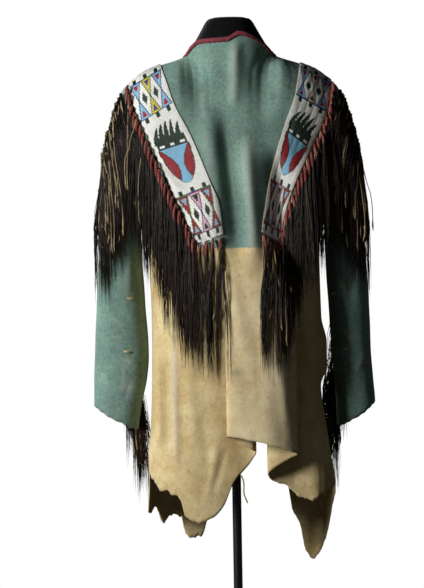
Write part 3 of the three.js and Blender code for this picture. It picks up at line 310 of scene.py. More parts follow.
def panel_point(side, u, row):
    """A body hide: row 0 is its top edge, 1 the armhole's middle height, 2 the hem."""
    u, row = np.broadcast_arrays(np.asarray(u, float), np.asarray(row, float))
    top_x = SHOULDER_HALF_WIDTH * np.sin(u * math.pi / 2)
    away = smooth(row * 9)
    top_z = eased(lambda x: top_of(side, x), top_x, 13, away)
    top_out = NECK_DEPTH[side] * eased(neck_round, top_x, 22 + 26 * smooth(row * 2.5), away)
    over = np.clip(row, 0, 1)
    shoulder = smooth((np.abs(top_x) - YOKE_FROM_X) / YOKE_WIDTH)
    outward = mix(smooth(over), np.sin(over * math.pi / 2), shoulder)
    drop = mix(over, 1 - np.cos(over * math.pi / 2), shoulder)
    base_x, base_out, fade = section(side, u, np.full(u.shape, float(ARMHOLE_MIDDLE_Z)))
    x_over, z_over = mix(top_x, base_x, drop), mix(top_z, ARMHOLE_MIDDLE_Z, drop)
    out_over = mix(top_out, base_out, outward)
    z_down = mix(ARMHOLE_MIDDLE_Z, hem_of[side](u) + ragged(u, side), np.clip(row - 1, 0, 1))
    x_down, out_down, _ = section(side, u, z_down)
    upper = row <= 1
    x, z = np.where(upper, x_over, x_down), np.where(upper, z_over, z_down)
    out = np.where(upper, out_over, out_down) + folds(side, x, z) * fade * smooth(row * 8)
    return stack(x, side * np.maximum(out, 0.15), z)


def panel_normal(side, u, row):
    e = 0.004
    across = panel_point(side, np.minimum(u + e, 1), row) - panel_point(side, np.maximum(u - e, -1), row)
    down = panel_point(side, u, np.minimum(row + e, 2)) - panel_point(side, u, np.maximum(row - e, 0))
    return unit(np.cross(across, down)) * side


SLEEVE_CURVES = {name: [curve(rows, "z", c) for c in ("outer", "inner", "depth")]
                 for name, rows in SLEEVE.items()}


def sleeve_point(name, angle, row):
    """A sleeve: angle 0 is its crest, 90 degrees the front; row 0 the armhole, 1 the bend, 2 the cuff."""
    angle, row = np.broadcast_arrays(np.asarray(angle, float), np.asarray(row, float))
    aside = ASIDE[name]
    outer, inner, depth = SLEEVE_CURVES[name]
    cos, sin = np.cos(angle), np.sin(angle)

    def ring(z):
        power = 2 / SLEEVE_PLAN_POWER
        middle, half = (outer(z) + inner(z)) / 2, (outer(z) - inner(z)) / 2
        return stack(aside * (middle + half * np.sign(cos) * np.abs(cos) ** power),
                     depth(z) * np.sign(sin) * np.abs(sin) ** power, z)

    high = (1 + cos) / 2
    start_z = ARMHOLE_MIDDLE_Z + ARMHOLE_HALF_HEIGHT * cos
    wide = (half_left if aside < 0 else half_right)(start_z)
    start = stack(aside * (wide + 0.6), ARMHOLE_HALF_DEPTH * sin, start_z)
    end = ring(np.full(angle.shape, float(SLEEVE_BEND_Z)))
    step = (6 + 12 * high)[..., None]
    leave = start + stack(aside, 0.12 * sin, -0.55) * step
    arrive = end + stack(0, 0, (start_z - SLEEVE_BEND_Z) * 0.55)
    t = np.clip(row, 0, 1)[..., None]
    upper = ((1 - t) ** 3 * start + 3 * t * (1 - t) ** 2 * leave + 3 * t**2 * (1 - t) * arrive + t**3 * end)
    cuff = mix(CUFF_INNER_Z, CUFF_OUTER_Z, high**1.5) + 0.8 * np.sin(angle * 17)
    lower = ring(mix(SLEEVE_BEND_Z, cuff, np.clip(row - 1, 0, 1)))
    point = np.where((row <= 1)[..., None], upper, lower)
    lift = fold_lift(SLEEVE_CREASES[name], point[..., 0], point[..., 2])
    ripple = 0.7 * np.sin(angle * 3 + point[..., 2] / 37) * np.sin(point[..., 2] / 23 + angle)
    swell = (lift * np.clip(-sin, 0, 1) + ripple) * smooth(row * 6)
    point = point.copy()
    point[..., 0] += swell * aside * cos * 0.6
    point[..., 1] += swell * sin
    return point


def sleeve_normal(name, angle, row):
    e = 0.01
    around = sleeve_point(name, angle + e, row) - sleeve_point(name, angle - e, row)
    lower = sleeve_point(name, angle, np.minimum(row + e, 2))
    down = lower - sleeve_point(name, angle, np.maximum(row - e, 0))
    return unit(np.cross(around, down)) * -ASIDE[name]


def halve(test, low, high):
    """Value of each place's own unknown between two limits, by halving."""
    for _ in range(HALVINGS):
        middle = (low + high) / 2
        above = test(middle)
        low, high = np.where(above, middle, low), np.where(above, high, middle)
    return (low + high) / 2


def locate(side, x, z):
    """Place on a body hide of a point seen from behind."""
    wide = np.where(x < 0, half_left(z), half_right(z))
    u = (2 / math.pi) * np.arcsin(np.clip(x / wide, -1, 1))
    ones = np.ones(x.shape)
    for _ in range(LOCATE_ROUNDS):
        row = halve(lambda r: panel_point(side, u, r)[..., 2] > z, 0 * ones, 2 * ones)
        u = halve(lambda v: panel_point(side, v, row)[..., 0] < x, -ones, ones)
    return u, row


def band_places(name, side, along, across):
    """Points and normals of the hide under a body band; across 0 is its inner edge, 1 its outer."""
    rows = BAND[name]
    inner_x, inner_z, outer_x, outer_z = (
        curve(rows, "along", c)(along) for c in ("inner_x", "inner_z", "outer_x", "outer_z"))
    beyond = np.maximum(along - 1, 0) * 150
    x, z = mix(inner_x, outer_x, across), mix(inner_z, outer_z, across) - beyond
    z = np.minimum(z, top_of(side, x))
    u, row = locate(side, x, z)
    row = np.where(along == 0, 0, row)
    point, normal = panel_point(side, u, row), panel_normal(side, u, np.maximum(row, 0.01))
    seam = smooth(1 - row * 12)[..., None]
    point = mix(point, stack(point[..., 0], 0 * x, point[..., 2]), seam * (row == 0)[..., None])
    return point, unit(mix(normal, stack(0 * x, 0 * x, 0 * x + 1), seam))


sleeve_band_edge = curve(SLEEVE_BAND, "z", "angle")


def sleeve_places(name, z, degrees):
    """Points and normals of the sleeve at heights and angles from its band's rear edge."""
    angle = np.radians(sleeve_band_edge(z) + degrees)
    ones = np.ones(angle.shape)
    row = halve(lambda r: sleeve_point(name, angle, r)[..., 2] > z, 0 * ones, 2 * ones)
    return sleeve_point(name, angle, row), sleeve_normal(name, angle, row)


def respace(points, normals, along, pitch):
    """Rows of a strip of places, with their share of its length, set an even distance apart."""
    middle = points[:, points.shape[1] // 2]
    length = np.concatenate([[0], np.cumsum(np.linalg.norm(np.diff(middle, axis=0), axis=1))])
    want = np.arange(pitch / 2, length[-1], pitch)
    i = np.clip(np.searchsorted(length, want) - 1, 0, len(length) - 2)
    part = (want - length[i]) / (length[i + 1] - length[i])
    t = part[:, None, None]
    along = along.ravel()
    spaced = mix(points[i], points[i + 1], t)
    facing = unit(mix(normals[i], normals[i + 1], t))
    return spaced, facing, mix(along[i], along[i + 1], part)


# Meshes and materials

def linear(colour):
    """Linear colour of an sRGB hex value."""
    parts = [int(colour[i:i + 2], 16) / 255 for i in (1, 3, 5)]
    return tuple(c / 12.92 if c <= 0.04045 else ((c + 0.055) / 1.055) ** 2.4 for c in parts) + (1.0,)


def make_object(name, points, faces, materials, smooth_faces=True, indices=None):
    """Mesh object from points in millimetres."""
    mesh = bpy.data.meshes.new(name)
    faces = faces if isinstance(faces, list) else faces.tolist()
    mesh.from_pydata((np.asarray(points).reshape(-1, 3) * MM).tolist(), [], faces)
    for material in materials:
        mesh.materials.append(material)
    mesh.polygons.foreach_set("use_smooth", np.full(len(mesh.polygons), smooth_faces))
    if indices is not None:
        mesh.polygons.foreach_set("material_index", np.asarray(indices, np.int32))
    mesh.validate()
    mesh.update()
    obj = bpy.data.objects.new(name, mesh)
    bpy.context.scene.collection.objects.link(obj)
    return obj


def set_values(obj, name, values):
    attribute = obj.data.attributes.new(name, "FLOAT", "POINT")
    attribute.data.foreach_set("value", np.asarray(values, np.float32).ravel())


def set_colours(obj, name, values):
    attribute = obj.data.color_attributes.new(name, "FLOAT_COLOR", "POINT")
    attribute.data.foreach_set("color", np.asarray(values, np.float32).ravel())


def grid_faces(rows, columns, closed=False, start=0, flip=False):
    """Quads of a grid of points, its last column joined to its first where it is closed."""
    i, j = np.meshgrid(np.arange(rows - 1), np.arange(columns if closed else columns - 1), indexing="ij")
    k = (j + 1) % columns
    quads = np.stack([i * columns + j, i * columns + k, (i + 1) * columns + k, (i + 1) * columns + j], -1)
    quads = quads.reshape(-1, 4) + start
    return quads[:, ::-1] if flip else quads


def wall(outer, inner, closed=False, flip=False):
    """Points and faces of a closed wall between two grids."""
    rows, columns = outer.shape[:2]
    size = rows * columns
    faces = [grid_faces(rows, columns, closed, 0, flip), grid_faces(rows, columns, closed, size, not flip)]
    j = np.arange(columns if closed else columns - 1)
    k = (j + 1) % columns
    last = (rows - 1) * columns
    rims = [np.stack([size + j, size + k, k, j], -1),
            np.stack([last + j, last + k, size + last + k, size + last + j], -1)]
    if not closed:
        a = np.arange(rows - 1) * columns
        b, e = a + columns, a + columns - 1
        f = b + columns - 1
        rims += [np.stack([size + a, a, b, size + b], -1), np.stack([e, size + e, size + f, f], -1)]
    faces += [r[:, ::-1] if flip else r for r in rims]
    return np.concatenate([outer.reshape(-1, 3), inner.reshape(-1, 3)]), np.concatenate(faces)


def tubes(paths, radii, sides):
    """Points and faces of many thin upright tubes: paths by strand and step."""
    strands, steps = paths.shape[:2]
    turn = np.arange(sides) / sides * 2 * math.pi
    ring = np.stack([np.cos(turn), np.sin(turn), 0 * turn], -1)
    points = paths[:, :, None, :] + radii[:, :, None, None] * ring
    one = grid_faces(steps, sides, True)
    faces = (one[None] + (np.arange(strands) * steps * sides)[:, None, None]).reshape(-1, 4)
    return points.reshape(-1, 3), faces


def new_material(name):
    material = bpy.data.materials.new(name)
    material.use_nodes = True
    tree = material.node_tree
    return material, tree, tree.nodes["Principled BSDF"]


def add(tree, kind, settings=None, links=None):
    """A node with its settings (attributes or socket values) and its incoming links."""
    node = tree.nodes.new(kind)
    for key, value in (settings or {}).items():
        if isinstance(key, str) and hasattr(node, key):
            setattr(node, key, value)
        else:
            node.inputs[key].default_value = value
    for key, source in (links or {}).items():
        tree.links.new(source, node.inputs[key])
    return node


def mixed(tree, factor, first, second, mode="MIX"):
    """Two colours mixed by a factor; each is a socket or a constant."""
    node = add(tree, "ShaderNodeMix", {"data_type": "RGBA", "blend_type": mode})
    for socket, value in ((node.inputs[0], factor), (node.inputs[6], first), (node.inputs[7], second)):
        if isinstance(value, bpy.types.NodeSocket):
            tree.links.new(value, socket)
        else:
            socket.default_value = value
    return node.outputs[2]


def attribute(tree, name):
    """A value stored at the mesh's points."""
    return add(tree, "ShaderNodeAttribute", {"attribute_name": name}).outputs["Fac"]


def stops(tree, value, low, high):
    """A value spread over 0 to 1 between two limits."""
    return add(tree, "ShaderNodeMapRange", {"From Min": low, "From Max": high}, {"Value": value}).outputs[0]


def noise(tree, place, scale, detail=2, roughness=0.5):
    """Fractal noise at a place, its scale in waves for each metre."""
    settings = {"Scale": scale, "Detail": detail, "Roughness": roughness}
    return add(tree, "ShaderNodeTexNoise", settings, {"Vector": place}).outputs[0]


def tinted(tree, factor, colour, amount, tint):
    """A colour that goes an amount of the way to a tint where a factor is 1."""
    return mixed(tree, factor, colour, mixed(tree, amount, colour, tint))


def finish_surface(tree, shader, colour, constants):
    """Link the colour, and set the constants on the shader's own sockets."""
    tree.links.new(colour, shader.inputs["Base Color"])
    for socket, value in constants.items():
        shader.inputs[socket].default_value = value


def relief(tree, shader, height, strength, distance, under=None):
    """Bump on the shader's normal, over another bump where there is one."""
    links = {"Height": height}
    if under is not None:
        links["Normal"] = under
    bump = add(tree, "ShaderNodeBump", {"Strength": strength, "Distance": distance}, links)
    tree.links.new(bump.outputs[0], shader.inputs["Normal"])
    return bump.outputs[0]


def painted_buckskin(name, settings, line_z):
    """Smoked buckskin, brain tanned and worked soft, with earth pigment rubbed into its nap.

    The eye gets a dead matt surface, pigment that lies blotchy, paler on the folds' crests from rubbing and
    painted light, painted shade in the hollows, and one ruled edge where the upper colour stops.
    """
    material, tree, shader = new_material(name)
    place = add(tree, "ShaderNodeTexCoord").outputs["Object"]
    height = add(tree, "ShaderNodeSeparateXYZ", None, {0: place}).outputs["Z"]
    patches = noise(tree, place, 11, 5, 0.62)
    clouds = noise(tree, place, 45, 6, 0.7)
    nap = noise(tree, place, 420, 4, 0.75)
    grain = noise(tree, place, 150, 5, 0.8)
    upper = mixed(tree, stops(tree, patches, 0.36, 0.66),
                  linear(settings.green_dark), linear(settings.green))
    upper = mixed(tree, stops(tree, clouds, 0.4, 0.78), upper, linear(settings.green_blue))
    lower = mixed(tree, stops(tree, patches, 0.38, 0.66),
                  linear(settings.ochre), linear(settings.cream))
    lower = mixed(tree, stops(tree, clouds, 0.52, 0.8), lower, linear(settings.ochre_deep))
    waver = add(tree, "ShaderNodeMath", {"operation": "MULTIPLY_ADD", 1: 0.006, 2: line_z - 0.003},
                {0: clouds}).outputs[0]
    above = add(tree, "ShaderNodeMath", {"operation": "SUBTRACT"}, {0: height, 1: waver}).outputs[0]
    colour = mixed(tree, stops(tree, above, -0.0012, 0.0012), lower, upper)
    speckle = noise(tree, place, 900, 2, 0.7)
    crest = attribute(tree, "crest")
    # Speckle, rubbed and soiled grain, crests paler from rubbing and painted light, and painted shade in the
    # fold hollows and on the sleeves' inner sides, darker towards the hem too, where the crest value is low:
    # where, how much and to what tint
    for source, low, high, amount, tint in (
            (speckle, 0.32, 0.72, 0.14, (1, 1, 1, 1)), (grain, 0.42, 0.7, 0.13, (1, 1, 0.92, 1)),
            (grain, 0.5, 0.3, 0.16, (0.05, 0.04, 0.02, 1)), (crest, 0.1, 1.4, 0.22, (1, 0.96, 0.84, 1)),
            (crest, -0.1, -1.4, 0.32, (0.02, 0.018, 0.012, 1))):
        colour = tinted(tree, stops(tree, source, low, high), colour, amount, tint)
    colour = tinted(tree, attribute(tree, "stain"), colour, 0.5, linear(settings.green_dark))
    colour = tinted(tree, attribute(tree, "scar"), colour, 0.45, (0.9, 0.88, 0.8, 1))
    finish_surface(tree, shader, colour,
                   {"Roughness": 0.92, "IOR": 1.45, "Specular IOR Level": 0.1, "Sheen Weight": 0.05})
    first = relief(tree, shader, clouds, 0.35, 0.003)
    second = relief(tree, shader, grain, 0.4, 0.0012, first)
    relief(tree, shader, nap, 0.35, 0.0007, second)
    return material


def seed_bead_glass():
    """Opaque drawn glass cut into seed beads and tumbled: hard, glossy, each with its own small glint."""
    material, tree, shader = new_material("opaque_seed_bead_glass")
    colour = add(tree, "ShaderNodeVertexColor", {"layer_name": "bead_colour"}).outputs[0]
    finish_surface(tree, shader, colour, {"Roughness": 0.26, "IOR": 1.52, "Specular IOR Level": 0.5})
    return material


def horsehair():
    """Horse mane hair, washed and tied: near black, with brown hairs, a soft sheen along its length."""
    material, tree, shader = new_material("washed_horsehair")
    tone = attribute(tree, "tone")
    colour = mixed(tree, stops(tree, tone, 0.1, 0.8), linear("#0f0a07"), linear("#32251b"))
    colour = mixed(tree, stops(tree, tone, 0.84, 1.0), colour, linear("#7d6749"))
    finish_surface(tree, shader, colour, {"Roughness": 0.5, "IOR": 1.55, "Specular IOR Level": 0.14})
    return material


def wool_yarn(settings):
    """Red wool yarn wound tight round the locks' heads: fuzzy, faded to brick and pink on the turns."""
    material, tree, shader = new_material("wound_wool_yarn")
    place = add(tree, "ShaderNodeTexCoord").outputs["Object"]
    # Turns of 1.2 mm yarn are drawn 5 mm apart, so that they show, with painted shade between them
    turns = add(tree, "ShaderNodeTexWave", {"bands_direction": "Z", "Scale": 63, "Distortion": 1.5},
                {"Vector": place})
    fade = noise(tree, place, 60, 3)
    colour = mixed(tree, stops(tree, fade, 0.35, 0.68), linear(settings.wrap), linear(settings.wrap_faded))
    # Painted shade in the grooves between the turns
    between = mixed(tree, 0.45, colour, (0.03, 0.008, 0.006, 1))
    colour = mixed(tree, stops(tree, turns.outputs[0], 0.0, 0.6), between, colour)
    finish_surface(tree, shader, colour, {"Roughness": 0.95, "Sheen Weight": 0.08})
    relief(tree, shader, turns.outputs[0], 0.8, 0.0012)
    return material


def thong_hide(name, dark, pale):
    """Cut buckskin thong: raw edged, twisted and dry, smoke tan with dark grease."""
    material, tree, shader = new_material(name)
    place = add(tree, "ShaderNodeTexCoord").outputs["Object"]
    patches = noise(tree, place, 90, 5, 0.7)
    fibre = noise(tree, place, 500, 3)
    colour = mixed(tree, stops(tree, patches, 0.35, 0.7), linear(dark), linear(pale))
    finish_surface(tree, shader, colour, {"Roughness": 0.88, "IOR": 1.45})
    relief(tree, shader, fibre, 0.5, 0.0008)
    return material


def trade_cloth(settings):
    """Red wool trade cloth, woven, fulled and cut: felted face, matt, with a short fuzz."""
    material, tree, shader = new_material("fulled_wool_trade_cloth")
    place = add(tree, "ShaderNodeTexCoord").outputs["Object"]
    felt = noise(tree, place, 700, 4, 0.8)
    wear = noise(tree, place, 40, 4)
    colour = mixed(tree, stops(tree, wear, 0.35, 0.7), linear(settings.red_dark), linear(settings.red))
    colour = tinted(tree, stops(tree, felt, 0.3, 0.75), colour, 0.12, (1, 0.7, 0.7, 1))
    finish_surface(tree, shader, colour, {"Roughness": 0.95, "Specular IOR Level": 0.1, "Sheen Weight": 0.08})
    relief(tree, shader, felt, 0.5, 0.0008)
    return material


def jersey(settings):
    """Black cotton jersey, knitted and stretched over the form: fine ribs, matt, a little lint."""
    material, tree, shader = new_material("stretched_cotton_jersey")
    place = add(tree, "ShaderNodeTexCoord").outputs["Object"]
    # Ribs of a 0.6 mm knit are drawn 6 mm apart, so that they show
    ribs = add(tree, "ShaderNodeTexWave", {"bands_direction": "X", "Scale": 52, "Distortion": 0.6},
               {"Vector": place})
    lint = noise(tree, place, 260, 4, 0.7)
    colour = mixed(tree, stops(tree, lint, 0.45, 0.8), linear(settings.cover), linear("#141416"))
    finish_surface(tree, shader, colour, {"Roughness": 0.9, "Specular IOR Level": 0.12, "Sheen Weight": 0.03})
    relief(tree, shader, ribs.outputs[0], 0.25, 0.0008)
    return material


def powder_coat(settings):
    """Mild steel, powder coated black: satin, with a faint orange peel."""
    material, tree, shader = new_material("powder_coated_steel")
    place = add(tree, "ShaderNodeTexCoord").outputs["Object"]
    peel = noise(tree, place, 320, 2)
    dust = noise(tree, place, 30, 5)
    colour = mixed(tree, stops(tree, dust, 0.5, 0.85), linear(settings.coat), linear("#0e0e0f"))
    finish_surface(tree, shader, colour, {"Roughness": 0.42, "IOR": 1.5, "Specular IOR Level": 0.2})
    relief(tree, shader, peel, 0.15, 0.0004)
    return material


# Beadwork

BEAD_COLOURS = {
    "white": "#f1f1ea", "forest": "#17311f", "navy": "#2b3170", "sky": "#8cc1dd", "red": "#a61f2a",
    "maroon": "#9c222b", "yellow": "#d8cc4f", "leaf": "#3f6b3a", "lilac": "#d8b2bb", "plum": "#5b3a7c",
}
BEAD_NAMES = list(BEAD_COLOURS)
BEAD_LINEAR = np.array([linear(BEAD_COLOURS[n]) for n in BEAD_NAMES])
INK = {n: k for k, n in enumerate(BEAD_NAMES)}
# Share of the band's length at which each part of its design starts and ends
LAYOUT = {"top_tabs": (0.008, 0.029), "block_one": (0.029, 0.243), "tabs_two": (0.243, 0.268),
          "paw": (0.3, 0.662), "tabs_three": (0.69, 0.715), "block_two": (0.715, 0.955),
          "end_tabs": (0.955, 0.985)}
CLAW_LENGTHS = (0.27, 0.3, 0.31, 0.29, 0.24)
CLAW_PLACES = (-0.66, -0.37, -0.08, 0.21, 0.5)
PAW_BAR_END = 0.41
PAD_WAIST = 0.58


def paint(ink, mask, name):
    """Set the colour of some beads."""
    ink[mask] = INK[name]


def tabs(ink, t, w, span):
    """Three short bars that stand on a boundary line."""
    for centre in (-0.66, 0, 0.68):
        paint(ink, (t > span[0]) & (t < span[1]) & (np.abs(w - centre) < 0.095), "forest")


def hourglasses(ink, t, w, span, colours):
    """Three hourglasses side by side with a diamond in each gap, between two boundary lines."""
    m = (t - span[0]) / (span[1] - span[0])
    within = (m > 0) & (m < 1)
    pinch = np.abs(2 * m - 1)
    for centre in (-0.33, 0.33):
        near = np.abs(m - 0.5) / 0.17 + np.abs(w - centre) / 0.155
        paint(ink, within & (near < 1), "forest")
    for centre, (fill, edge, gem) in zip((-0.66, 0, 0.66), colours):
        reach = np.abs(w - centre)
        half = 0.3 * pinch + 0.028
        paint(ink, within & (reach < half), fill)
        paint(ink, within & (reach < half) & (reach > half - 0.052), edge)
        in_gem = (pinch > 0.5) & (pinch < 0.84) & (reach < 0.15 * (pinch - 0.5) / 0.34)
        paint(ink, within & in_gem, gem)
        paint(ink, within & ((m < 0.028) | (m > 0.972)) & (reach < 0.33), edge)


def paw(ink, t, w, span, lean):
    """A bear's track: five claws over a bar, and a pad of two lobes with a waist between them."""
    m = (t - span[0]) / (span[1] - span[0])
    for length, centre in zip(CLAW_LENGTHS, CLAW_PLACES):
        up = (0.31 - m) / length
        bent = w - (centre if lean > 0 else -centre) - lean * (0.3 * np.clip(up, 0, 1) ** 2 - 0.02)
        half = 0.168 * np.clip(1 - up, 0, 1) ** 0.5
        paint(ink, (up > 0) & (up < 1) & (np.abs(bent) < half), "forest")
    paint(ink, (m > 0.25) & (m < PAW_BAR_END) & (np.abs(w) < 0.78), "forest")
    for centre in (-0.55, 0, 0.55):
        paint(ink, (m > 0.345) & (m < 0.385) & (np.abs(w - centre) < 0.12), "white")
    down = np.clip((m - PAW_BAR_END) / (1 - PAW_BAR_END), 0, 1)
    oval = 0.8 * np.clip(1 - down**2.6, 0, 1) ** 0.6
    pad = (m >= PAW_BAR_END) & (m < 1) & (np.abs(w) < oval)
    above_waist = 0.6 * np.clip(1 - down / PAD_WAIST, 0, 1) ** 1.7
    below_waist = 0.3 * np.clip((down - PAD_WAIST) / (1 - PAD_WAIST), 0, 1) ** 1.6
    waist = 0.13 + above_waist + below_waist
    paint(ink, pad, "maroon")
    paint(ink, pad & (np.abs(w) < waist + 0.045), "forest")
    paint(ink, pad & (np.abs(w) < waist), "sky")
    paint(ink, pad & (np.abs(w) > oval - 0.05), "forest")


def band_design(name, t, w):
    """Bead colour of each place of a body band: t from shoulder to end, w from -1 outer to 1 inner."""
    ink = np.zeros(np.broadcast(t, w).shape, int)
    t, w = np.broadcast_arrays(t, w)
    middle = ("yellow", "leaf", "plum") if name == "left" else ("lilac", "leaf", "forest")
    blue = ("sky", "navy", "red")
    dark = ("maroon", "leaf", "sky")
    hourglasses(ink, t, w, LAYOUT["block_one"], (blue, middle, blue))
    hourglasses(ink, t, w, LAYOUT["block_two"], (dark, ("lilac", "plum", "forest"), dark))
    paw(ink, t, w, LAYOUT["paw"], 1 if name == "left" else -1)
    for key in ("top_tabs", "tabs_two", "tabs_three", "end_tabs"):
        tabs(ink, t, w, LAYOUT[key])
    return ink


def sleeve_design(t, w):
    """Bead colour of a sleeve band: white ground with four blocks of hourglasses and tabs between."""
    ink = np.zeros(np.broadcast(t, w).shape, int)
    t, w = np.broadcast_arrays(t, w)
    blue = ("sky", "navy", "red")
    blocks = ((0.03, 0.16), (0.29, 0.42), (0.56, 0.69), (0.83, 0.96))
    fills = (blue, ("maroon", "leaf", "sky"), ("lilac", "plum", "forest"), blue)
    for span, colours in zip(blocks, fills):
        hourglasses(ink, t, w * 0.66 + 0.33, span, (colours, colours, colours))
        for edge in (span[0] - 0.018, span[1] + 0.006):
            for centre in (-0.5, 0.5):
                paint(ink, (t > edge) & (t < edge + 0.012) & (np.abs(w - centre) < 0.16), "forest")
    for middle in (0.225, 0.49, 0.76):
        paint(ink, np.abs(t - middle) / 0.028 + np.abs(w) / 0.42 < 1, "forest")
        paint(ink, np.abs(t - middle) / 0.014 + np.abs(w) / 0.2 < 1, "sky")
    return ink


def bead_mesh(name, points, normals, ink, columns_in_lane, settings, material):
    """Short rounded bars of glass in lanes, one for each place of a grid."""
    rng = np.random.default_rng(SEED)
    rows, columns = points.shape[:2]
    step_along, step_across = np.gradient(points, axis=0), np.gradient(points, axis=1)
    lane = (np.arange(columns) % columns_in_lane + 0.5) / columns_in_lane
    hump = (0.9 * np.sin(lane * math.pi) ** 0.6)[None, :, None]
    seat = points + normals * (settings.bead_seat / MM + hump + rng.uniform(-0.1, 0.1, (rows, columns, 1)))
    height = normals * (settings.bead_height / MM)
    corners = ((-1, -1), (1, -1), (1, 1), (-1, 1))
    ring = [seat + step_along * (a * 0.5) + step_across * (b * 0.5) for a, b in corners]
    ridge = [seat + height + step_across * (b * 0.3) for b in (-1, 1)]
    vertices = np.stack(ring + ridge, axis=2).reshape(-1, 3)
    sides, ends = np.array([(1, 2, 5, 4), (3, 0, 4, 5)]), np.array([(0, 1, 4), (2, 3, 5)])
    if np.einsum("ijk,ijk->ij", np.cross(step_along, step_across), normals).mean() < 0:
        sides, ends = sides[:, ::-1], ends[:, ::-1]
    first = (np.arange(rows * columns) * 6)[:, None, None]
    faces = (first + sides).reshape(-1, 4).tolist() + (first + ends).reshape(-1, 3).tolist()
    colours = BEAD_LINEAR[ink].reshape(-1, 4).copy()
    colours[:, :3] *= rng.uniform(0.84, 1.06, (rows * columns, 1))
    obj = make_object(name, vertices, faces, [material])
    set_colours(obj, "bead_colour", np.repeat(colours, 6, axis=0))
    return obj


def strip_of_body(name, columns, pitch, margin=0.0):
    """Evenly spaced rows of a body band from its front end over the shoulder to its back end."""
    along = np.linspace(0, 1, 160)[:, None] ** 1.6
    across = np.linspace(1 + margin, -margin, columns)[None, :]
    halves = []
    for side in (BACK, FRONT):
        points, normals = band_places(name, side, along + 0 * across, across + 0 * along)
        halves.append(respace(points, normals, along, pitch))
    return tuple(np.concatenate([front[::-1], back]) for back, front in zip(*halves))


def strip_of_sleeve(name, columns, pitch, margin=0.0):
    """Evenly spaced rows of a sleeve band from its upper end to its lower."""
    z = np.linspace(*SLEEVE_BAND_Z, 160)[:, None]
    degrees = (np.linspace(-margin, 1 + margin, columns) * SLEEVE_BAND_ANGLE)[None, :]
    points, normals = sleeve_places(name, z + 0 * degrees, degrees + 0 * z)
    share = (z - z[0]) / (z[-1] - z[0])
    return respace(points, normals, share, pitch)


# Spacing of the backing strips' rows in millimetres, and how much wider they are than the beads
BACKING_PITCH = 5.0
BACKING_MARGIN = 0.02


def backing_strip(name, points, normals, material, seat):
    """The hide strip that the beads are sewn to."""
    keep = slice(None, None, 2)
    outer, inner = points[keep] + normals[keep] * (seat + 0.3), points[keep] + normals[keep] * 0.5
    vertices, faces = wall(outer, inner, flip=True)
    return make_object(name, vertices, faces, [material])


# Hair and thongs

# Grid of the relief maps in millimetres: its lowest corner, its cell and its count of cells
RELIEF_LOW = (-330.0, 380.0)
RELIEF_CELL = 4.0
RELIEF_CELLS = (166, 272)
NO_CLOTH = -400.0
# Length of the sleeve locks' bare heads, and the length past which a head is wound with wool
BARE_HEAD = 9
LONGEST_BARE_HEAD = 15
HAIR_STEPS = 6
# Radii down a lock's head, and down a thong to its knot and tail
HEAD_RADII = (1.3, 2.6, 3.1, 3.1, 3.0, 2.8, 1.6)
THONG_RADII = (1.7, 1.5, 1.2, 1, 1, 1, 1, 0.9, 2.1, 1.5, 0.4)


def relief_cells(x, z):
    """Cells of a relief map that places fall in."""
    places = ((x - RELIEF_LOW[0]) / RELIEF_CELL, (z - RELIEF_LOW[1]) / RELIEF_CELL)
    return tuple(np.clip(p.astype(int), 0, n - 1) for p, n in zip(places, RELIEF_CELLS))


class Relief:
    """How far the cloth stands out at each place seen from behind or in front, for what hangs on it."""

    def __init__(self, side, clouds):
        self.side = side
        self.out = np.full(RELIEF_CELLS, NO_CLOTH)
        for points in clouds:
            flat = points.reshape(-1, 3)
            np.maximum.at(self.out, relief_cells(flat[:, 0], flat[:, 2]), side * flat[:, 1])
        wide = np.pad(self.out, 1, constant_values=NO_CLOTH)
        across, down = RELIEF_CELLS
        shifts = [wide[a:a + across, b:b + down] for a in range(3) for b in range(3)]
        self.out = np.maximum.reduce(shifts)

    def at(self, x, z):
        return self.out[relief_cells(x, z)]


def hang(relief_map, roots, foot, length, steps, clearance, sway):
    """Paths of things hung from roots: each drifts to its foot and rests on the cloth under it."""
    fine = steps * 5
    s = np.linspace(0, 1, fine + 1)[None, :]
    swing = sway[:, None] * np.sin(s * 5 + sway[:, None])
    x = roots[:, :1] + (foot[:, None] - roots[:, :1]) * smooth(s * 1.6) + swing
    z = roots[:, 2:] - length[:, None] * s
    rest = relief_map.at(x, z) + clearance[:, None] * smooth(s * 5)
    ahead = np.concatenate([rest[:, 2:], rest[:, -1:], rest[:, -1:]], axis=1)
    out = np.maximum.accumulate(np.maximum(np.maximum(rest, ahead), relief_map.side * roots[:, 1:2]), axis=1)
    out[:, 0] = relief_map.side * roots[:, 1]
    path = np.stack([x, relief_map.side * out, z], -1)
    return path[:, ::5]


def lock_heads(rng, relief_map, roots, wrap, wound):
    """Paths and radii of the locks' heads, which lean outward a little, each its own way."""
    locks = len(roots)
    drift = np.sign(roots[:, 0]) * rng.uniform(0, 4, locks) + rng.uniform(-1.5, 1.5, locks)
    paths = hang(relief_map, roots, roots[:, 0] + drift, wrap * rng.uniform(0.85, 1.15, locks), 6,
                 rng.uniform(3, 6.5, locks) * (1 if wound else 0.4), np.zeros(locks))
    radii = np.array(HEAD_RADII)[None, :] * rng.uniform(0.85, 1.15, (locks, 1))
    return paths, radii * (1 if wound else 0.45)


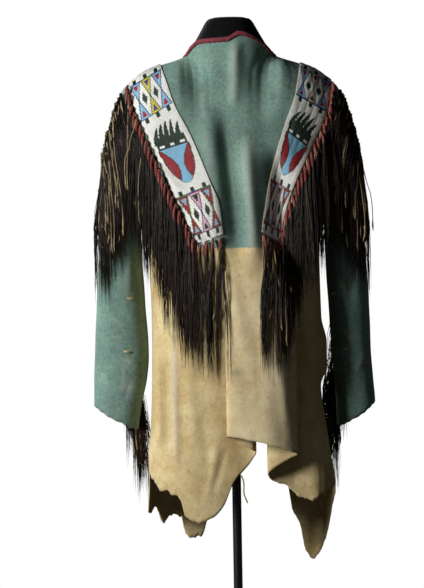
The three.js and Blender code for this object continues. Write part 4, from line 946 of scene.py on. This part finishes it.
def lock_hair(rng, relief_map, starts, foot, length, hairs):
    """Paths, radii and tones of the hair, which falls in a few wisps from each lock."""
    locks = len(starts)
    which = np.repeat(np.arange(locks), hairs)
    count = len(which)
    start = starts[which] + rng.normal(0, 0.9, (count, 3))
    span = length(which, rng.uniform(0.66, 1.0, count))
    wisp = rng.integers(0, 4, count)
    end = foot[which] + rng.normal(0, 6.8, (locks, 4))[which, wisp] + rng.normal(0, 1.9, count)
    paths = hang(relief_map, start, end, span, HAIR_STEPS, rng.uniform(1.5, 8.5, count),
                 rng.normal(0, 1.4, count))
    paths[:, 1:-1, 0] += rng.normal(0, 0.9, paths[:, 1:-1, 0].shape)
    taper = np.linspace(1, 0, HAIR_STEPS + 1)[None, :] ** 0.45
    radii = taper * rng.uniform(0.5, 1.0, (count, 1)) + 0.12
    shade = rng.beta(1.6, 2.6, count) * 0.75 + rng.normal(0, 0.07, locks)[which]
    tone = np.clip(shade[:, None] + np.linspace(0, 0.28, HAIR_STEPS + 1)[None, :], 0, 1)
    return paths, radii, tone


def lock_thongs(rng, relief_map, roots, foot, length, thongs):
    """Paths and radii of the thongs, each with a small knot and a short tail at its end."""
    pick = np.repeat(np.arange(len(roots)), thongs)
    count = len(pick)
    bundle = rng.uniform(0.55, 0.98, len(roots))[pick] * rng.uniform(0.9, 1.06, count)
    start = roots[pick] + stack(rng.uniform(-3.5, 3.5, count), 0, -3)
    end = foot[pick] + rng.normal(0, 5, count)
    paths = hang(relief_map, start, end, length[pick] * bundle, 10, rng.uniform(1.5, 9.5, count),
                 rng.normal(0, 2.2, count))
    paths[:, 2:-3, 0] += rng.normal(0, 0.8, paths[:, 2:-3, 0].shape)
    paths[:, -2, 2] = paths[:, -3, 2] - 4
    paths[:, -1, 2] = paths[:, -2, 2] - 7
    return paths, np.array(THONG_RADII)[None, :] * rng.uniform(0.75, 1.3, (count, 1))


def lock_mesh(name, relief_map, roots, foot, length, materials, settings, wrap, thongs):
    """A row of locks: a wool-wound head, hair that spreads and tapers, and knotted thongs beside it."""
    rng = np.random.default_rng(SEED + len(roots))
    wound = wrap > LONGEST_BARE_HEAD
    head_paths, head_radii = lock_heads(rng, relief_map, roots, wrap, wound)
    hair_paths, hair_radii, tone = lock_hair(
        rng, relief_map, head_paths[:, 4 if wound else 1], foot,
        lambda which, share: length[which] * share - wrap * 0.66, settings.hairs_per_lock)
    thong_paths, thong_radii = lock_thongs(rng, relief_map, roots, foot, length, thongs)
    parts = [tubes(head_paths, head_radii, 7), tubes(hair_paths, hair_radii, 3),
             tubes(thong_paths, thong_radii, 4)]
    first = np.cumsum([0] + [len(points) for points, _ in parts])
    all_points = np.concatenate([points for points, _ in parts])
    all_faces = np.concatenate([faces + start for (_, faces), start in zip(parts, first)])
    indices = np.repeat([1, 0, 2], [len(faces) for _, faces in parts])
    obj = make_object(name, all_points, all_faces, materials, True, indices)
    values = np.zeros(len(all_points))
    values[first[1]:first[2]] = np.repeat(tone.ravel(), 3)
    set_values(obj, "tone", values)
    return obj


def body_roots(name, side, spacing):
    """Roots of the locks along a body band's outer edge and round its lower end."""
    along = np.linspace(0.0, 1, 120)[:, None] ** 1.6
    edge, normals = band_places(name, side, along, np.full(along.shape, 1.045))
    edge, normals, _ = respace(edge, normals, along, spacing)
    edge, normals = edge[1:, 0], normals[1:, 0]
    across = np.linspace(0.86, 0.1, 4)[None, :]
    end, end_normals = band_places(name, side, np.full(across.shape, 1.0), across)
    end = end - np.array([0, 0, 3])
    return np.concatenate([edge + normals * 3, end[0] + end_normals[0] * 3])


def sleeve_roots(name, spacing, z_from, z_to):
    """Roots of the locks along a sleeve band's rear edge."""
    z = np.linspace(z_from, z_to, 120)[:, None]
    edge, normals = sleeve_places(name, z, np.full(z.shape, -4.75))
    edge, normals, _ = respace(edge, normals, z, spacing)
    return edge[:, 0] + normals[:, 0] * 3


# Settings

def length_property(name, text, value):
    return bpy.props.FloatProperty(name=name, description=text, default=value, unit="LENGTH", min=0.0)


def hex_property(name, text, value):
    return bpy.props.StringProperty(name=name, description=text, default=value)


def count_property(name, text, value):
    return bpy.props.IntProperty(name=name, description=text, default=value)


def power_property(name, text, value):
    return bpy.props.FloatProperty(name=name, description=text, default=value, unit="POWER")


class HideSettings(bpy.types.PropertyGroup):
    """Sizes and colours of the painted hides."""

    thickness: length_property("Hide thickness", "Thickness of the tanned hide", 0.0022)
    paint_line: length_property("Paint line", "Height at which the upper colour stops", PAINT_LINE_Z * MM)
    green: hex_property("Green", "Rubbed green pigment", "#6a937f")
    green_dark: hex_property("Dark green", "Green where it lies thick", "#466a57")
    green_blue: hex_property("Blue green", "Green where it turns to blue", "#568584")
    cream: hex_property("Cream", "Pale yellow of the lower hide", "#dfca90")
    ochre: hex_property("Ochre", "Yellow pigment where it lies thick", "#c2a25c")
    ochre_deep: hex_property("Deep ochre", "Rubbed ochre in the grain", "#b08d4e")


class BeadSettings(bpy.types.PropertyGroup):
    """Sizes of the beadwork."""

    pitch: length_property("Bead pitch", "Distance between rows of beads, drawn a little coarse", 0.00175)
    bead_height: length_property("Bead height", "How far a bead stands out of its lane", 0.001)
    bead_seat: length_property("Bead seat", "Distance of the lanes from the hide", 0.0015)
    columns: count_property("Columns", "Beads across a body band", 40)
    lane: count_property("Lane", "Beads across one lane", 8)
    sleeve_columns: count_property("Sleeve columns", "Beads across a sleeve band", 24)


class LockSettings(bpy.types.PropertyGroup):
    """Sizes of the hair locks and thongs."""

    hair_length: length_property("Lock length", "Length of the hair locks", 0.288)
    wrap_length: length_property("Wrap length", "Length of the wool-wound head", 0.03)
    spacing: length_property("Spacing", "Distance between locks along a band", 0.0155)
    hairs_per_lock: count_property("Hairs", "Strands drawn in each lock", 34)
    thongs_per_lock: count_property("Thongs", "Thongs drawn beside each lock", 1)
    wrap: hex_property("Wrap", "Wool of the locks' heads", "#84302c")
    wrap_faded: hex_property("Faded wrap", "Wool where it has faded", "#a2594f")


class EdgingSettings(bpy.types.PropertyGroup):
    """Sizes and colours of the neck's edging."""

    width: length_property("Width", "Width of the edging outside the neck", 0.0075)
    red: hex_property("Red", "Red wool cloth", "#86222e")
    red_dark: hex_property("Dark red", "Red wool cloth where it is soiled", "#611721")


class StandSettings(bpy.types.PropertyGroup):
    """Colours of the form and stand."""

    cover: hex_property("Cover", "Jersey over the form", "#08080a")
    coat: hex_property("Coat", "Coating of the pole and base", "#09090a")


class StageSettings(bpy.types.PropertyGroup):
    """Camera and light."""

    distance: length_property("Distance", "Distance of the camera", 8.0)
    key_power: power_property("Key light", "Power of the key light", 225.0)
    far_power: power_property("Far light", "Power of the light on the side away from the camera", 150.0)
    fill_power: power_property("Fill light", "Power of the fill light", 4.0)
    world: bpy.props.FloatProperty(name="Surround", description="Strength of the surround", default=0.018)


def finish_piece(obj, replaced=()):
    """Hide the solids that a piece takes the place of, and let it ride the body."""
    if replaced:
        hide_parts(*replaced)
    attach(obj, BODY_NAME)
    return obj


# Operators

# Columns and rows of the hides' meshes; a sleeve's rows are above and below its bend
PANEL_GRID = {BACK: (190, 150), FRONT: (130, 104)}
SLEEVE_GRID = (84, 40, 46)
# Width and length of the piece that each hide is cut from, in metres, and the area of its cut
HIDE_CUT = {BACK: ((0.9, 0.98), 0.52), FRONT: ((0.66, 1.04), 0.44)}


def panel_lines(side):
    """Places across and down a body hide, spaced evenly round its plan at the level of the pleat."""
    columns, rows = PANEL_GRID[side]
    dense = np.linspace(-1, 1, 3000)
    x, out, _ = section(side, dense, np.full(dense.shape, 760.0))
    round_plan = np.concatenate([[0], np.cumsum(np.hypot(np.diff(x), np.diff(out)))])
    shared = round_plan / round_plan[-1] * 0.8 + (dense + 1) / 2 * 0.2
    u = np.interp(np.linspace(0, 1, columns), shared, dense)
    upper = np.linspace(0, 1, int(rows * 0.3))
    return u, np.concatenate([upper, np.linspace(1, 2, rows - len(upper) + 1)[1:]])


def armhole_inward(points, toward_body):
    """Direction into the hide round the armhole."""
    aside = np.sign(points[..., 0])
    around = -points[..., 1] / ARMHOLE_HALF_DEPTH
    low = np.clip((ARMHOLE_MIDDLE_Z - points[..., 2]) / ARMHOLE_HALF_HEIGHT, 0, 1)
    high = points[..., 2] >= ARMHOLE_MIDDLE_Z
    upward = np.where(high, (ARMHOLE_MIDDLE_Z - points[..., 2]) / ARMHOLE_HALF_HEIGHT, 0)
    sideways = np.where(high, 0, aside * low * (-1 if toward_body else 1))
    return unit(stack(sideways, around, upward))


def body_hide(side, name, node, thick, material):
    """The back or the front hide."""
    u, rows = panel_lines(side)
    u, rows = np.meshgrid(u, rows)
    outer, normals = panel_point(side, u, rows), panel_normal(side, u, rows)
    inward = -normals
    inward[:, [0, -1]] = armhole_inward(outer[:, [0, -1]], True)
    shoulder = np.abs(outer[0, :, 0]) > NECK_HALF_WIDTH
    inward[0, shoulder] = (0, 0, -1)
    inner = outer + inward * thick
    inner[..., 1] = side * np.maximum(side * inner[..., 1], 0.15)
    points, faces = wall(outer, inner, flip=side < 0)
    piece = make_object(name, points, faces, [material])
    # Crest values: paler on the folds' crests, painted shade in their hollows
    lift = folds(side, outer[..., 0], outer[..., 2]) / 7
    if side == BACK:
        # Painted light on the pleat's proud parts and painted shade on its receding parts
        strength = smooth((PLEAT_STARTS_Z - outer[..., 2]) / (PLEAT_STARTS_Z - PLEAT_FULL_Z))
        lift = lift + strength * (pleat_lift(u) - 6) / 40 * (np.abs(u) < 0.5)
    # Darker towards the lower edge
    lift = lift - 0.45 * smooth((640 - outer[..., 2]) / 150)
    set_hide_values(piece, side, outer, lift)
    finish_piece(piece, [node])
    size, area = HIDE_CUT[side]


def sleeve_hide(name, thick, material):
    """A sleeve, all round."""
    columns, upper_rows, lower_rows = SLEEVE_GRID
    angle = np.linspace(0, 2 * math.pi, columns, endpoint=False)[None, :]
    upper, lower = np.linspace(0, 1, upper_rows), np.linspace(1, 2, lower_rows)
    rows = np.concatenate([upper, lower[1:]])[:, None]
    angle, rows = np.broadcast_arrays(angle, rows)
    outer, normals = sleeve_point(name, angle, rows), sleeve_normal(name, angle, rows)
    inward = -normals
    inward[0] = armhole_inward(outer[0], False)
    points, faces = wall(outer, outer + inward * thick, True, flip=ASIDE[name] > 0)
    piece = make_object(f"{name}_sleeve_hide", points, faces, [material])
    # Crest values of the creases on the side that faces back: paler crests, painted shade in the hollows
    lift = fold_lift(SLEEVE_CREASES[name], outer[..., 0], outer[..., 2]) / 3 * (outer[..., 1] < 0)
    # Painted shade on the side of the sleeve that faces the body
    lift = lift - 0.8 * smooth((-np.cos(angle) - 0.15) / 0.6)
    set_hide_values(piece, name, outer, lift)
    finish_piece(piece, [f"sleeve_{name}"])


class SHIRT_OT_hides(bpy.types.Operator):
    """Build the four painted hides: back, front and both sleeves"""

    bl_idname = "shirt.hides"
    bl_label = "Hides"

    def execute(self, context):
        settings = context.scene.shirt_hides
        thick = settings.thickness / MM
        body = painted_buckskin("pigment_rubbed_buckskin", settings, settings.paint_line)
        sleeves = painted_buckskin("pigment_rubbed_sleeve_buckskin", settings, 0.0)
        for side, name, node in ((BACK, "back_hide", "shirt_back"), (FRONT, "front_hide", "shirt_front")):
            body_hide(side, name, node, thick, body)
        for name in ("left", "right"):
            sleeve_hide(name, thick, sleeves)
        return {"FINISHED"}


# Marks of use: a place, its reach each way and its strength
MARKS = {
    BACK: table("x z wide high stain scar", [
        (4, 764, 14, 9, 0.9, 0), (-2, 870, 8, 5, 0.3, 0), (-20, 880, 10, 7, 0.35, 0),
        (66, 1250, 30, 22, 0.4, 0), (-118, 760, 3.2, 100, 0, 0.6), (-113, 650, 14, 3, 0, 0.5)]),
    FRONT: table("x z wide high stain scar", [
        (60, 760, 16, 10, 0.5, 0), (-40, 900, 18, 12, 0.3, 0)]),
    "left": table("x z wide high stain scar", [
        (-215, 738, 11, 12, 0, 0.5), (-222, 760, 3, 22, 0, 0.35), (-240, 900, 22, 30, 0.4, 0)]),
    "right": table("x z wide high stain scar", [(240, 880, 20, 30, 0.4, 0)]),
}


def hide_marks(key, points):
    """Strength of the stains and scars at the places of a hide."""
    found = {}
    for kind in ("stain", "scar"):
        total = np.zeros(points.shape[:2])
        rows = MARKS[key]
        for k in range(len(rows["x"])):
            away = (((points[..., 0] - rows["x"][k]) / rows["wide"][k]) ** 2
                    + ((points[..., 2] - rows["z"][k]) / rows["high"][k]) ** 2)
            total = np.maximum(total, rows[kind][k] * np.exp(-away))
        found[kind] = total
    return found


def set_hide_values(piece, key, outer, lift):
    """Store the crest values, with their painted light and shade, and the marks of a hide's outer face; its
    inner face has none.
    """
    for name, values in {"crest": lift, **hide_marks(key, outer)}.items():
        set_values(piece, name, np.concatenate([values.ravel(), 0 * values.ravel()]))


def band_of_beads(piece, strip_of, name, columns, design, node, settings, glass):
    """The beads of one band."""
    points, normals, t = strip_of(name, columns, settings.pitch / MM)
    w = np.linspace(-1, 1, columns)[None, :]
    beads = bead_mesh(piece, points, normals, design(t[:, None], w), settings.lane, settings, glass)
    finish_piece(beads, [node])


def band_backing(piece, strip_of, name, columns, settings, material):
    """The hide strip of one band, a little wider than its beads."""
    points, normals, _ = strip_of(name, columns, BACKING_PITCH, BACKING_MARGIN)
    under = backing_strip(piece, points, normals, material, settings.bead_seat / MM)
    return finish_piece(under)


class SHIRT_OT_beadwork(bpy.types.Operator):
    """Build the beaded bands of the shoulders and sleeves on their hide strips"""

    bl_idname = "shirt.beadwork"
    bl_label = "Beadwork"

    def execute(self, context):
        settings = context.scene.shirt_beads
        glass = seed_bead_glass()
        strip_hide = thong_hide("bead_strip_buckskin", "#8c7a58", "#c9b68a")
        for name in ("left", "right"):
            band_of_beads(f"{name}_band_beads", strip_of_body, name, settings.columns,
                          lambda t, w: band_design(name, t, w), f"bead_strip_{name}", settings, glass)
            under = band_backing(f"{name}_band_strip", strip_of_body, name, 13, settings, strip_hide)
            band_of_beads(f"{name}_sleeve_beads", strip_of_sleeve, name, settings.sleeve_columns,
                          sleeve_design, f"sleeve_strip_{name}", settings, glass)
            under = band_backing(f"{name}_sleeve_strip", strip_of_sleeve, name, 9, settings, strip_hide)
        return {"FINISHED"}


def cloth_clouds():
    """Places all over the outer cloth, and on the bands, for the hair to rest on."""
    clouds = []
    for side in (BACK, FRONT):
        u, rows = np.meshgrid(np.linspace(-1, 1, 420), np.linspace(0, 2, 420))
        clouds.append(panel_point(side, u, rows))
    for name in ("left", "right"):
        angle, rows = np.meshgrid(np.linspace(0, 2 * math.pi, 160), np.linspace(0, 2, 260))
        clouds.append(sleeve_point(name, angle, rows))
        points, normals, _ = strip_of_body(name, 40, 3.0)
        clouds.append(points + normals * 3.6)
        points, normals, _ = strip_of_sleeve(name, 20, 3.0)
        clouds.append(points + normals * 3.6)
    return clouds


class SHIRT_OT_locks(bpy.types.Operator):
    """Build the hair locks with their wound heads and thongs"""

    bl_idname = "shirt.locks"
    bl_label = "Hair locks"

    def execute(self, context):
        settings = context.scene.shirt_locks
        rng = np.random.default_rng(SEED)
        thongs = thong_hide("cut_thong_buckskin", "#77684c", "#b09c76")
        materials = [horsehair(), wool_yarn(settings), thongs]
        spacing, full = settings.spacing / MM, settings.hair_length / MM
        clouds = cloth_clouds()
        maps = {side: Relief(side, clouds) for side in (BACK, FRONT)}
        for name in ("left", "right"):
            for side, word in ((BACK, "back"), (FRONT, "front")):
                roots = body_roots(name, side, spacing)
                length = full * rng.uniform(0.9, 1.05, len(roots))
                foot = roots[:, 0] + ASIDE[name] * rng.uniform(-3, 5, len(roots))
                piece = lock_mesh(f"{name}_{word}_locks", maps[side], roots, foot, length, materials,
                                  settings, settings.wrap_length / MM, settings.thongs_per_lock)
                finish_piece(piece, [f"fringe_{word}_{name}"])
            # The sleeves' locks have short, bare heads and more thongs
            behind = sleeve_roots(name, spacing * 0.55, 1324, 1180)
            before = sleeve_roots(name, spacing * 0.75, 1140, 744)
            order = np.linspace(0, 1, len(behind))
            bare = [materials[0], materials[2], materials[2]]
            piece = lock_mesh(f"{name}_sleeve_back_locks", maps[BACK], behind,
                              ASIDE[name] * mix(196, 266, order), full * rng.uniform(0.98, 1.08, len(behind)),
                              bare, settings, BARE_HEAD, 2)
            finish_piece(piece)
            order = np.linspace(0, 1, len(before))
            front = lock_mesh(f"{name}_sleeve_front_locks", maps[FRONT], before,
                              ASIDE[name] * mix(242, 186, order) + rng.uniform(-16, 16, len(before)),
                              full * rng.uniform(0.85, 0.98, len(before)), bare, settings,
                              BARE_HEAD, 3)
            finish_piece(front, [f"fringe_sleeve_{name}"])
        return {"FINISHED"}


class SHIRT_OT_edging(bpy.types.Operator):
    """Build the red wool edging of the neck"""

    bl_idname = "shirt.edging"
    bl_label = "Neck edging"

    def execute(self, context):
        settings = context.scene.shirt_edging
        reach = settings.width / MM
        limit = (2 / math.pi) * math.asin(NECK_HALF_WIDTH / SHOULDER_HALF_WIDTH)
        turn = np.radians(np.linspace(-90, 90, 90))
        u = (2 / math.pi) * np.arcsin(NECK_HALF_WIDTH * np.sin(turn) / SHOULDER_HALF_WIDTH)
        u = np.clip(u, -limit, limit)
        edge, out, down = [], [], []
        for side, order in ((BACK, u), (FRONT, u[::-1])):
            order = order[1:-1] if side == FRONT else order
            rim, lower = panel_point(side, order, 0.0 * order), panel_point(side, order, 0.0 * order + 0.03)
            edge.append(rim)
            down.append(unit(lower - rim))
            out.append(panel_normal(side, order, 0.0 * order + 0.015))
        edge, out, down = (np.concatenate(v) for v in (edge, out, down))
        for _ in range(6):
            out = unit(out + np.roll(out, 1, axis=0) + np.roll(out, -1, axis=0))
            down = unit(down + np.roll(down, 1, axis=0) + np.roll(down, -1, axis=0))
        # Section of the folded cloth: distance out from the hide's face, and down from its edge
        profile = [(1.1, reach), (2.0, reach + 0.2), (2.5, reach * 0.6), (2.4, 1), (1.8, -0.5), (-0.6, -1.6),
                   (-3, -1.4), (-4.2, -0.4), (-4.6, 3), (-4.2, 5), (-3.3, 5), (-3.1, 1), (-2.4, -0.2),
                   (0.4, -0.5), (1.1, 0.4)]
        rings = np.stack([edge + out * a + down * b for a, b in profile], axis=1)
        wave = 0.25 * np.sin(np.arange(len(edge)) * 1.3)[:, None, None] * out[:, None, :]
        rings = rings + wave
        points = rings.reshape(-1, 3)
        count, sides = rings.shape[:2]
        i, j = np.meshgrid(np.arange(count), np.arange(sides), indexing="ij")
        a, b = i * sides + j, i * sides + (j + 1) % sides
        c, d = ((i + 1) % count) * sides + (j + 1) % sides, ((i + 1) % count) * sides + j
        faces = np.stack([a, d, c, b], -1).reshape(-1, 4)
        piece = make_object("neck_edging", points, faces, [trade_cloth(settings)])
        finish_piece(piece, ["neck_binding"])
        stitches(edge, out, down, reach)
        return {"FINISHED"}


def stitches(edge, out, down, reach):
    """Whip stitches of pale sinew over the edging's lower edge."""
    pick = np.arange(2, len(edge), 3)
    start = edge[pick] + out[pick] * 2.9 + down[pick] * (reach - 3)
    end = edge[pick] + out[pick] * 0.9 + down[pick] * (reach + 1.6)
    middle = (start + end) / 2 + out[pick] * 0.9
    points, faces = tubes(np.stack([start, middle, end], 1), np.full((len(pick), 3), 0.4), 5)
    piece = make_object("edging_stitches", points, faces, [thong_hide("twisted_sinew", "#6b2a2c", "#8d4a45")])
    finish_piece(piece)


def tie(name, centre, normal, material):
    """A short thong tied through the hide, its two ends lying flat."""
    s = np.linspace(-1, 1, 9)
    bulge = normal * (2.4 * (1 - s**2) + 1.2)[:, None]
    side = np.array([1.0, 0, 0.12 * np.sign(centre[0])])
    path = centre + side * (s * TIE_REACH)[:, None] + bulge
    tube, faces = flat_thong(path, TIE_WIDTH, THONG_THICKNESS)
    piece = make_object(name, tube, faces, [material])
    finish_piece(piece)


def flat_thong(path, width, thickness):
    """Points and faces of a flat strap along a path."""
    forward = unit(np.gradient(path, axis=0))
    up = unit(np.cross(forward, np.array([0.0, 1.0, 0.0])))
    face = unit(np.cross(up, forward))
    corners = [(-1, -1), (1, -1), (1, 1), (-1, 1)]
    rings = np.stack([path + up * (a * width / 2) + face * (b * thickness / 2) for a, b in corners], 1)
    faces = grid_faces(len(path), 4, True).tolist()
    last = (len(path) - 1) * 4
    faces += [[3, 2, 1, 0], [last, last + 1, last + 2, last + 3]]
    return rings.reshape(-1, 3), faces


def sleeve_place(name, x, z):
    """Point and normal on the side of a sleeve that faces back."""
    aside = ASIDE[name]
    angle = halve(lambda a: aside * sleeve_point(name, -a, np.full(a.shape, 1.3))[..., 0] > aside * x,
                  np.array([0.3]), np.array([2.9]))
    row = halve(lambda r: sleeve_point(name, -angle, r)[..., 2] > z, np.array([1.0]), np.array([2.0]))
    return sleeve_point(name, -angle, row)[0], sleeve_normal(name, -angle, row)[0]


# Places of the thongs tied through the sleeves: side, x and z
TIES = (("left", -207, 913), ("left", -215, 807), ("right", 199, 916), ("right", 213, 805))
# Top end of the loose thong and its way to the lower end
THONG_TOP = (8.8, -112, 560)
THONG_DROP = (10.5, -2, -54)
THONG_WIDTH = 3
THONG_THICKNESS = 1.2
TIE_WIDTH = 4.6
# How far a tie reaches to each side of its place
TIE_REACH = 6


class SHIRT_OT_ties(bpy.types.Operator):
    """Build the small thong ties and the loose thongs of the hides"""

    bl_idname = "shirt.ties"
    bl_label = "Ties"

    def execute(self, context):
        material = thong_hide("tie_thong_buckskin", "#8f7d5a", "#cdb98c")
        for name, x, z in TIES:
            place, normal = sleeve_place(name, x, z)
            tie(f"{name}_sleeve_tie_{z}", place, normal, material)
        s = np.linspace(0, 1, 24)[:, None]
        curl = stack(2 * np.sin(s[:, 0] * 7), 0 * s[:, 0], 0 * s[:, 0])
        drop = np.array([THONG_TOP]) + s * np.array([THONG_DROP]) + curl
        points, faces = flat_thong(drop, THONG_WIDTH, THONG_THICKNESS)
        finish_piece(make_object("hanging_thong", points, faces, [material]))
        return {"FINISHED"}


class SHIRT_OT_stand(bpy.types.Operator):
    """Build the covered form, its pole and its base"""

    bl_idname = "shirt.stand"
    bl_label = "Form and stand"

    def execute(self, context):
        settings = context.scene.shirt_stand
        z = np.unique(np.concatenate([np.linspace(FORM_LOW_Z, 1300, 60), np.linspace(1300, 1471, 70)]))
        wide, back, front, power = (
            curve(FORM, "z", c)(z)[:, None] for c in ("wide", "back", "front", "power"))
        turn = np.linspace(0, 2 * math.pi, FORM_SIDES, endpoint=False)[None, :]
        sin = np.sign(np.sin(turn)) * np.abs(np.sin(turn)) ** (2 / power)
        cos = np.sign(np.cos(turn)) * np.abs(np.cos(turn)) ** (2 / power)
        rings = stack(wide * cos, np.where(sin < 0, back, front) * sin, z[:, None])
        form = capped("form_body", rings, FORM_LOW_Z, FORM_TOP_Z, jersey(settings))
        finish_piece(form, ["dress_form"])
        coat = powder_coat(settings)
        low, high = BASE_HEIGHT + STAND_GAP, FORM_LOW_Z - STAND_GAP
        pole = turned("pole_tube", [(0, low), (POLE_RADIUS, low), (POLE_RADIUS, high), (0, high)], coat, 48)
        finish_piece(pole, ["stand_pole"])
        rim = BASE_RADIUS
        profile = [(0, 0), (rim - 1, 0), (rim, 1), (rim, 6), (rim - 0.8, 8), (rim - 2.4, 9.4),
                   (rim - 4, BASE_HEIGHT), (0, BASE_HEIGHT)]
        plate = turned("base_plate", profile, coat, 128)
        finish_piece(plate, ["stand_base"])
        return {"FINISHED"}


def capped(name, rings, low_z, high_z, material):
    """A closed solid through rings, its two ends brought to a point on its axis."""
    count, sides = rings.shape[:2]
    points = np.concatenate([rings.reshape(-1, 3), [[0, 0, low_z], [0, 0, high_z]]])
    base, top, last = len(points) - 2, len(points) - 1, (count - 1) * sides
    faces = grid_faces(count, sides, True).tolist()
    faces += [[base, (j + 1) % sides, j] for j in range(sides)]
    faces += [[top, last + j, last + (j + 1) % sides] for j in range(sides)]
    return make_object(name, points, faces, [material])


def turned(name, profile, material, sides):
    """A turned solid through a profile of radius and height that starts and ends on its axis."""
    turn = np.linspace(0, 2 * math.pi, sides, endpoint=False)
    rings = np.stack([stack(r * np.cos(turn), r * np.sin(turn), z + 0 * turn) for r, z in profile[1:-1]])
    obj = capped(name, rings, profile[0][1], profile[-1][1], material)
    modifier = obj.modifiers.new("flat_ends", "EDGE_SPLIT")
    modifier.split_angle = math.radians(50)
    return obj


# Stage

# The picture's centre and height at the shirt, in metres, and its turn about the line of sight
VIEW_CENTRE = Vector((-0.0429, 0.0, 0.9189))
VIEW_HEIGHT = 1.176
SENSOR_HEIGHT = 24
VIEW_ROLL = math.radians(0.945)
# The floor's half side and height, in millimetres
FLOOR_HALF = 4000
FLOOR_Z = -0.5
# Place, target and size of each light, in metres
LIGHTS = {"key": ((-3.6, -2.6, 1.9), (0, 0, 0.95), 1.2), "far_side": ((-2.6, 3.6, 2.4), (0, 0.1, 1.0), 1.8),
          "fill": ((3.2, -3.4, 1.4), (0, 0, 1.0), 2.0)}


def add_light(name, place, target, power, size):
    """A square area light that faces its target."""
    data = bpy.data.lights.new(name, "AREA")
    data.energy, data.size = power, size
    light = bpy.data.objects.new(name, data)
    light.location = place
    light.rotation_euler = (Vector(target) - Vector(place)).to_track_quat("-Z", "Y").to_euler()
    bpy.context.scene.collection.objects.link(light)


class SHIRT_OT_stage(bpy.types.Operator):
    """Set the floor, lights, surround and camera"""

    bl_idname = "shirt.stage"
    bl_label = "Stage"

    def execute(self, context):
        settings = context.scene.shirt_stage
        scene = context.scene
        material, _, shader = new_material("matt_studio_floor")
        shader.inputs["Base Color"].default_value = linear("#e9e8e6")
        shader.inputs["Roughness"].default_value = 0.9
        corners = [(a * FLOOR_HALF, b * FLOOR_HALF, FLOOR_Z) for a, b in ((-1, -1), (1, -1), (1, 1), (-1, 1))]
        floor = make_object("floor", corners, [(0, 1, 2, 3)], [material], False)
        # The floor shows, but throws no light back up on the shirt
        floor.visible_diffuse = False
        world = bpy.data.worlds.new("studio")
        scene.world = world
        world.use_nodes = True
        tree = world.node_tree
        seen = tree.nodes["Background"]
        seen.inputs["Color"].default_value = (1, 1, 1, 1)
        soft = add(tree, "ShaderNodeBackground", {"Color": (1, 1, 1, 1), "Strength": settings.world})
        rays = add(tree, "ShaderNodeLightPath")
        both = add(tree, "ShaderNodeMixShader", None, {0: rays.outputs["Is Camera Ray"], 1: soft.outputs[0],
                                                       2: seen.outputs[0]})
        tree.links.new(both.outputs[0], tree.nodes["World Output"].inputs["Surface"])
        powers = {"key": settings.key_power, "far_side": settings.far_power, "fill": settings.fill_power}
        for name, (place, target, size) in LIGHTS.items():
            add_light(name, place, target, powers[name], size)
        data = bpy.data.cameras.new("camera")
        data.sensor_fit = "VERTICAL"
        data.sensor_height = SENSOR_HEIGHT
        data.lens = SENSOR_HEIGHT * settings.distance / VIEW_HEIGHT
        data.clip_end = 60
        camera = bpy.data.objects.new("camera", data)
        right = Vector((math.cos(VIEW_ROLL), 0, -math.sin(VIEW_ROLL)))
        upright = Vector((math.sin(VIEW_ROLL), 0, math.cos(VIEW_ROLL)))
        turn = Matrix((right, upright, Vector((0, -1, 0)))).transposed()
        place = VIEW_CENTRE + Vector((0, -settings.distance, 0))
        camera.matrix_world = Matrix.Translation(place) @ turn.to_4x4()
        scene.collection.objects.link(camera)
        scene.camera = camera
        scene.view_settings.view_transform = "Standard"
        return {"FINISHED"}


class SHIRT_PT_panel(bpy.types.Panel):
    """Sidebar panel with the shirt's pieces"""

    bl_label = "War shirt"
    bl_idname = "SHIRT_PT_panel"
    bl_space_type = "VIEW_3D"
    bl_region_type = "UI"
    bl_category = "Shirt"

    def draw(self, context):
        for operator in OPERATORS:
            self.layout.operator(operator.bl_idname)
        for key in GROUPS:
            box = self.layout.box()
            group = getattr(context.scene, key)
            for name in group.__annotations__:
                box.prop(group, name)


OPERATORS = (SHIRT_OT_hides, SHIRT_OT_beadwork, SHIRT_OT_locks, SHIRT_OT_edging, SHIRT_OT_ties,
             SHIRT_OT_stand, SHIRT_OT_stage)
GROUPS = {"shirt_hides": HideSettings, "shirt_beads": BeadSettings, "shirt_locks": LockSettings,
          "shirt_edging": EdgingSettings, "shirt_stand": StandSettings, "shirt_stage": StageSettings}
CLASSES = (*GROUPS.values(), *OPERATORS, SHIRT_PT_panel)


def register():
    for cls in CLASSES:
        bpy.utils.register_class(cls)
    for key, group in GROUPS.items():
        setattr(bpy.types.Scene, key, bpy.props.PointerProperty(type=group))


def unregister():
    for key in GROUPS:
        delattr(bpy.types.Scene, key)
    for cls in reversed(CLASSES):
        bpy.utils.unregister_class(cls)


def main():
    register()
    bpy.ops.shirt.stand()
    bpy.ops.shirt.hides()
    bpy.ops.shirt.beadwork()
    bpy.ops.shirt.locks()
    bpy.ops.shirt.edging()
    bpy.ops.shirt.ties()
    bpy.ops.shirt.stage()


if __name__ == "__main__":
    main()
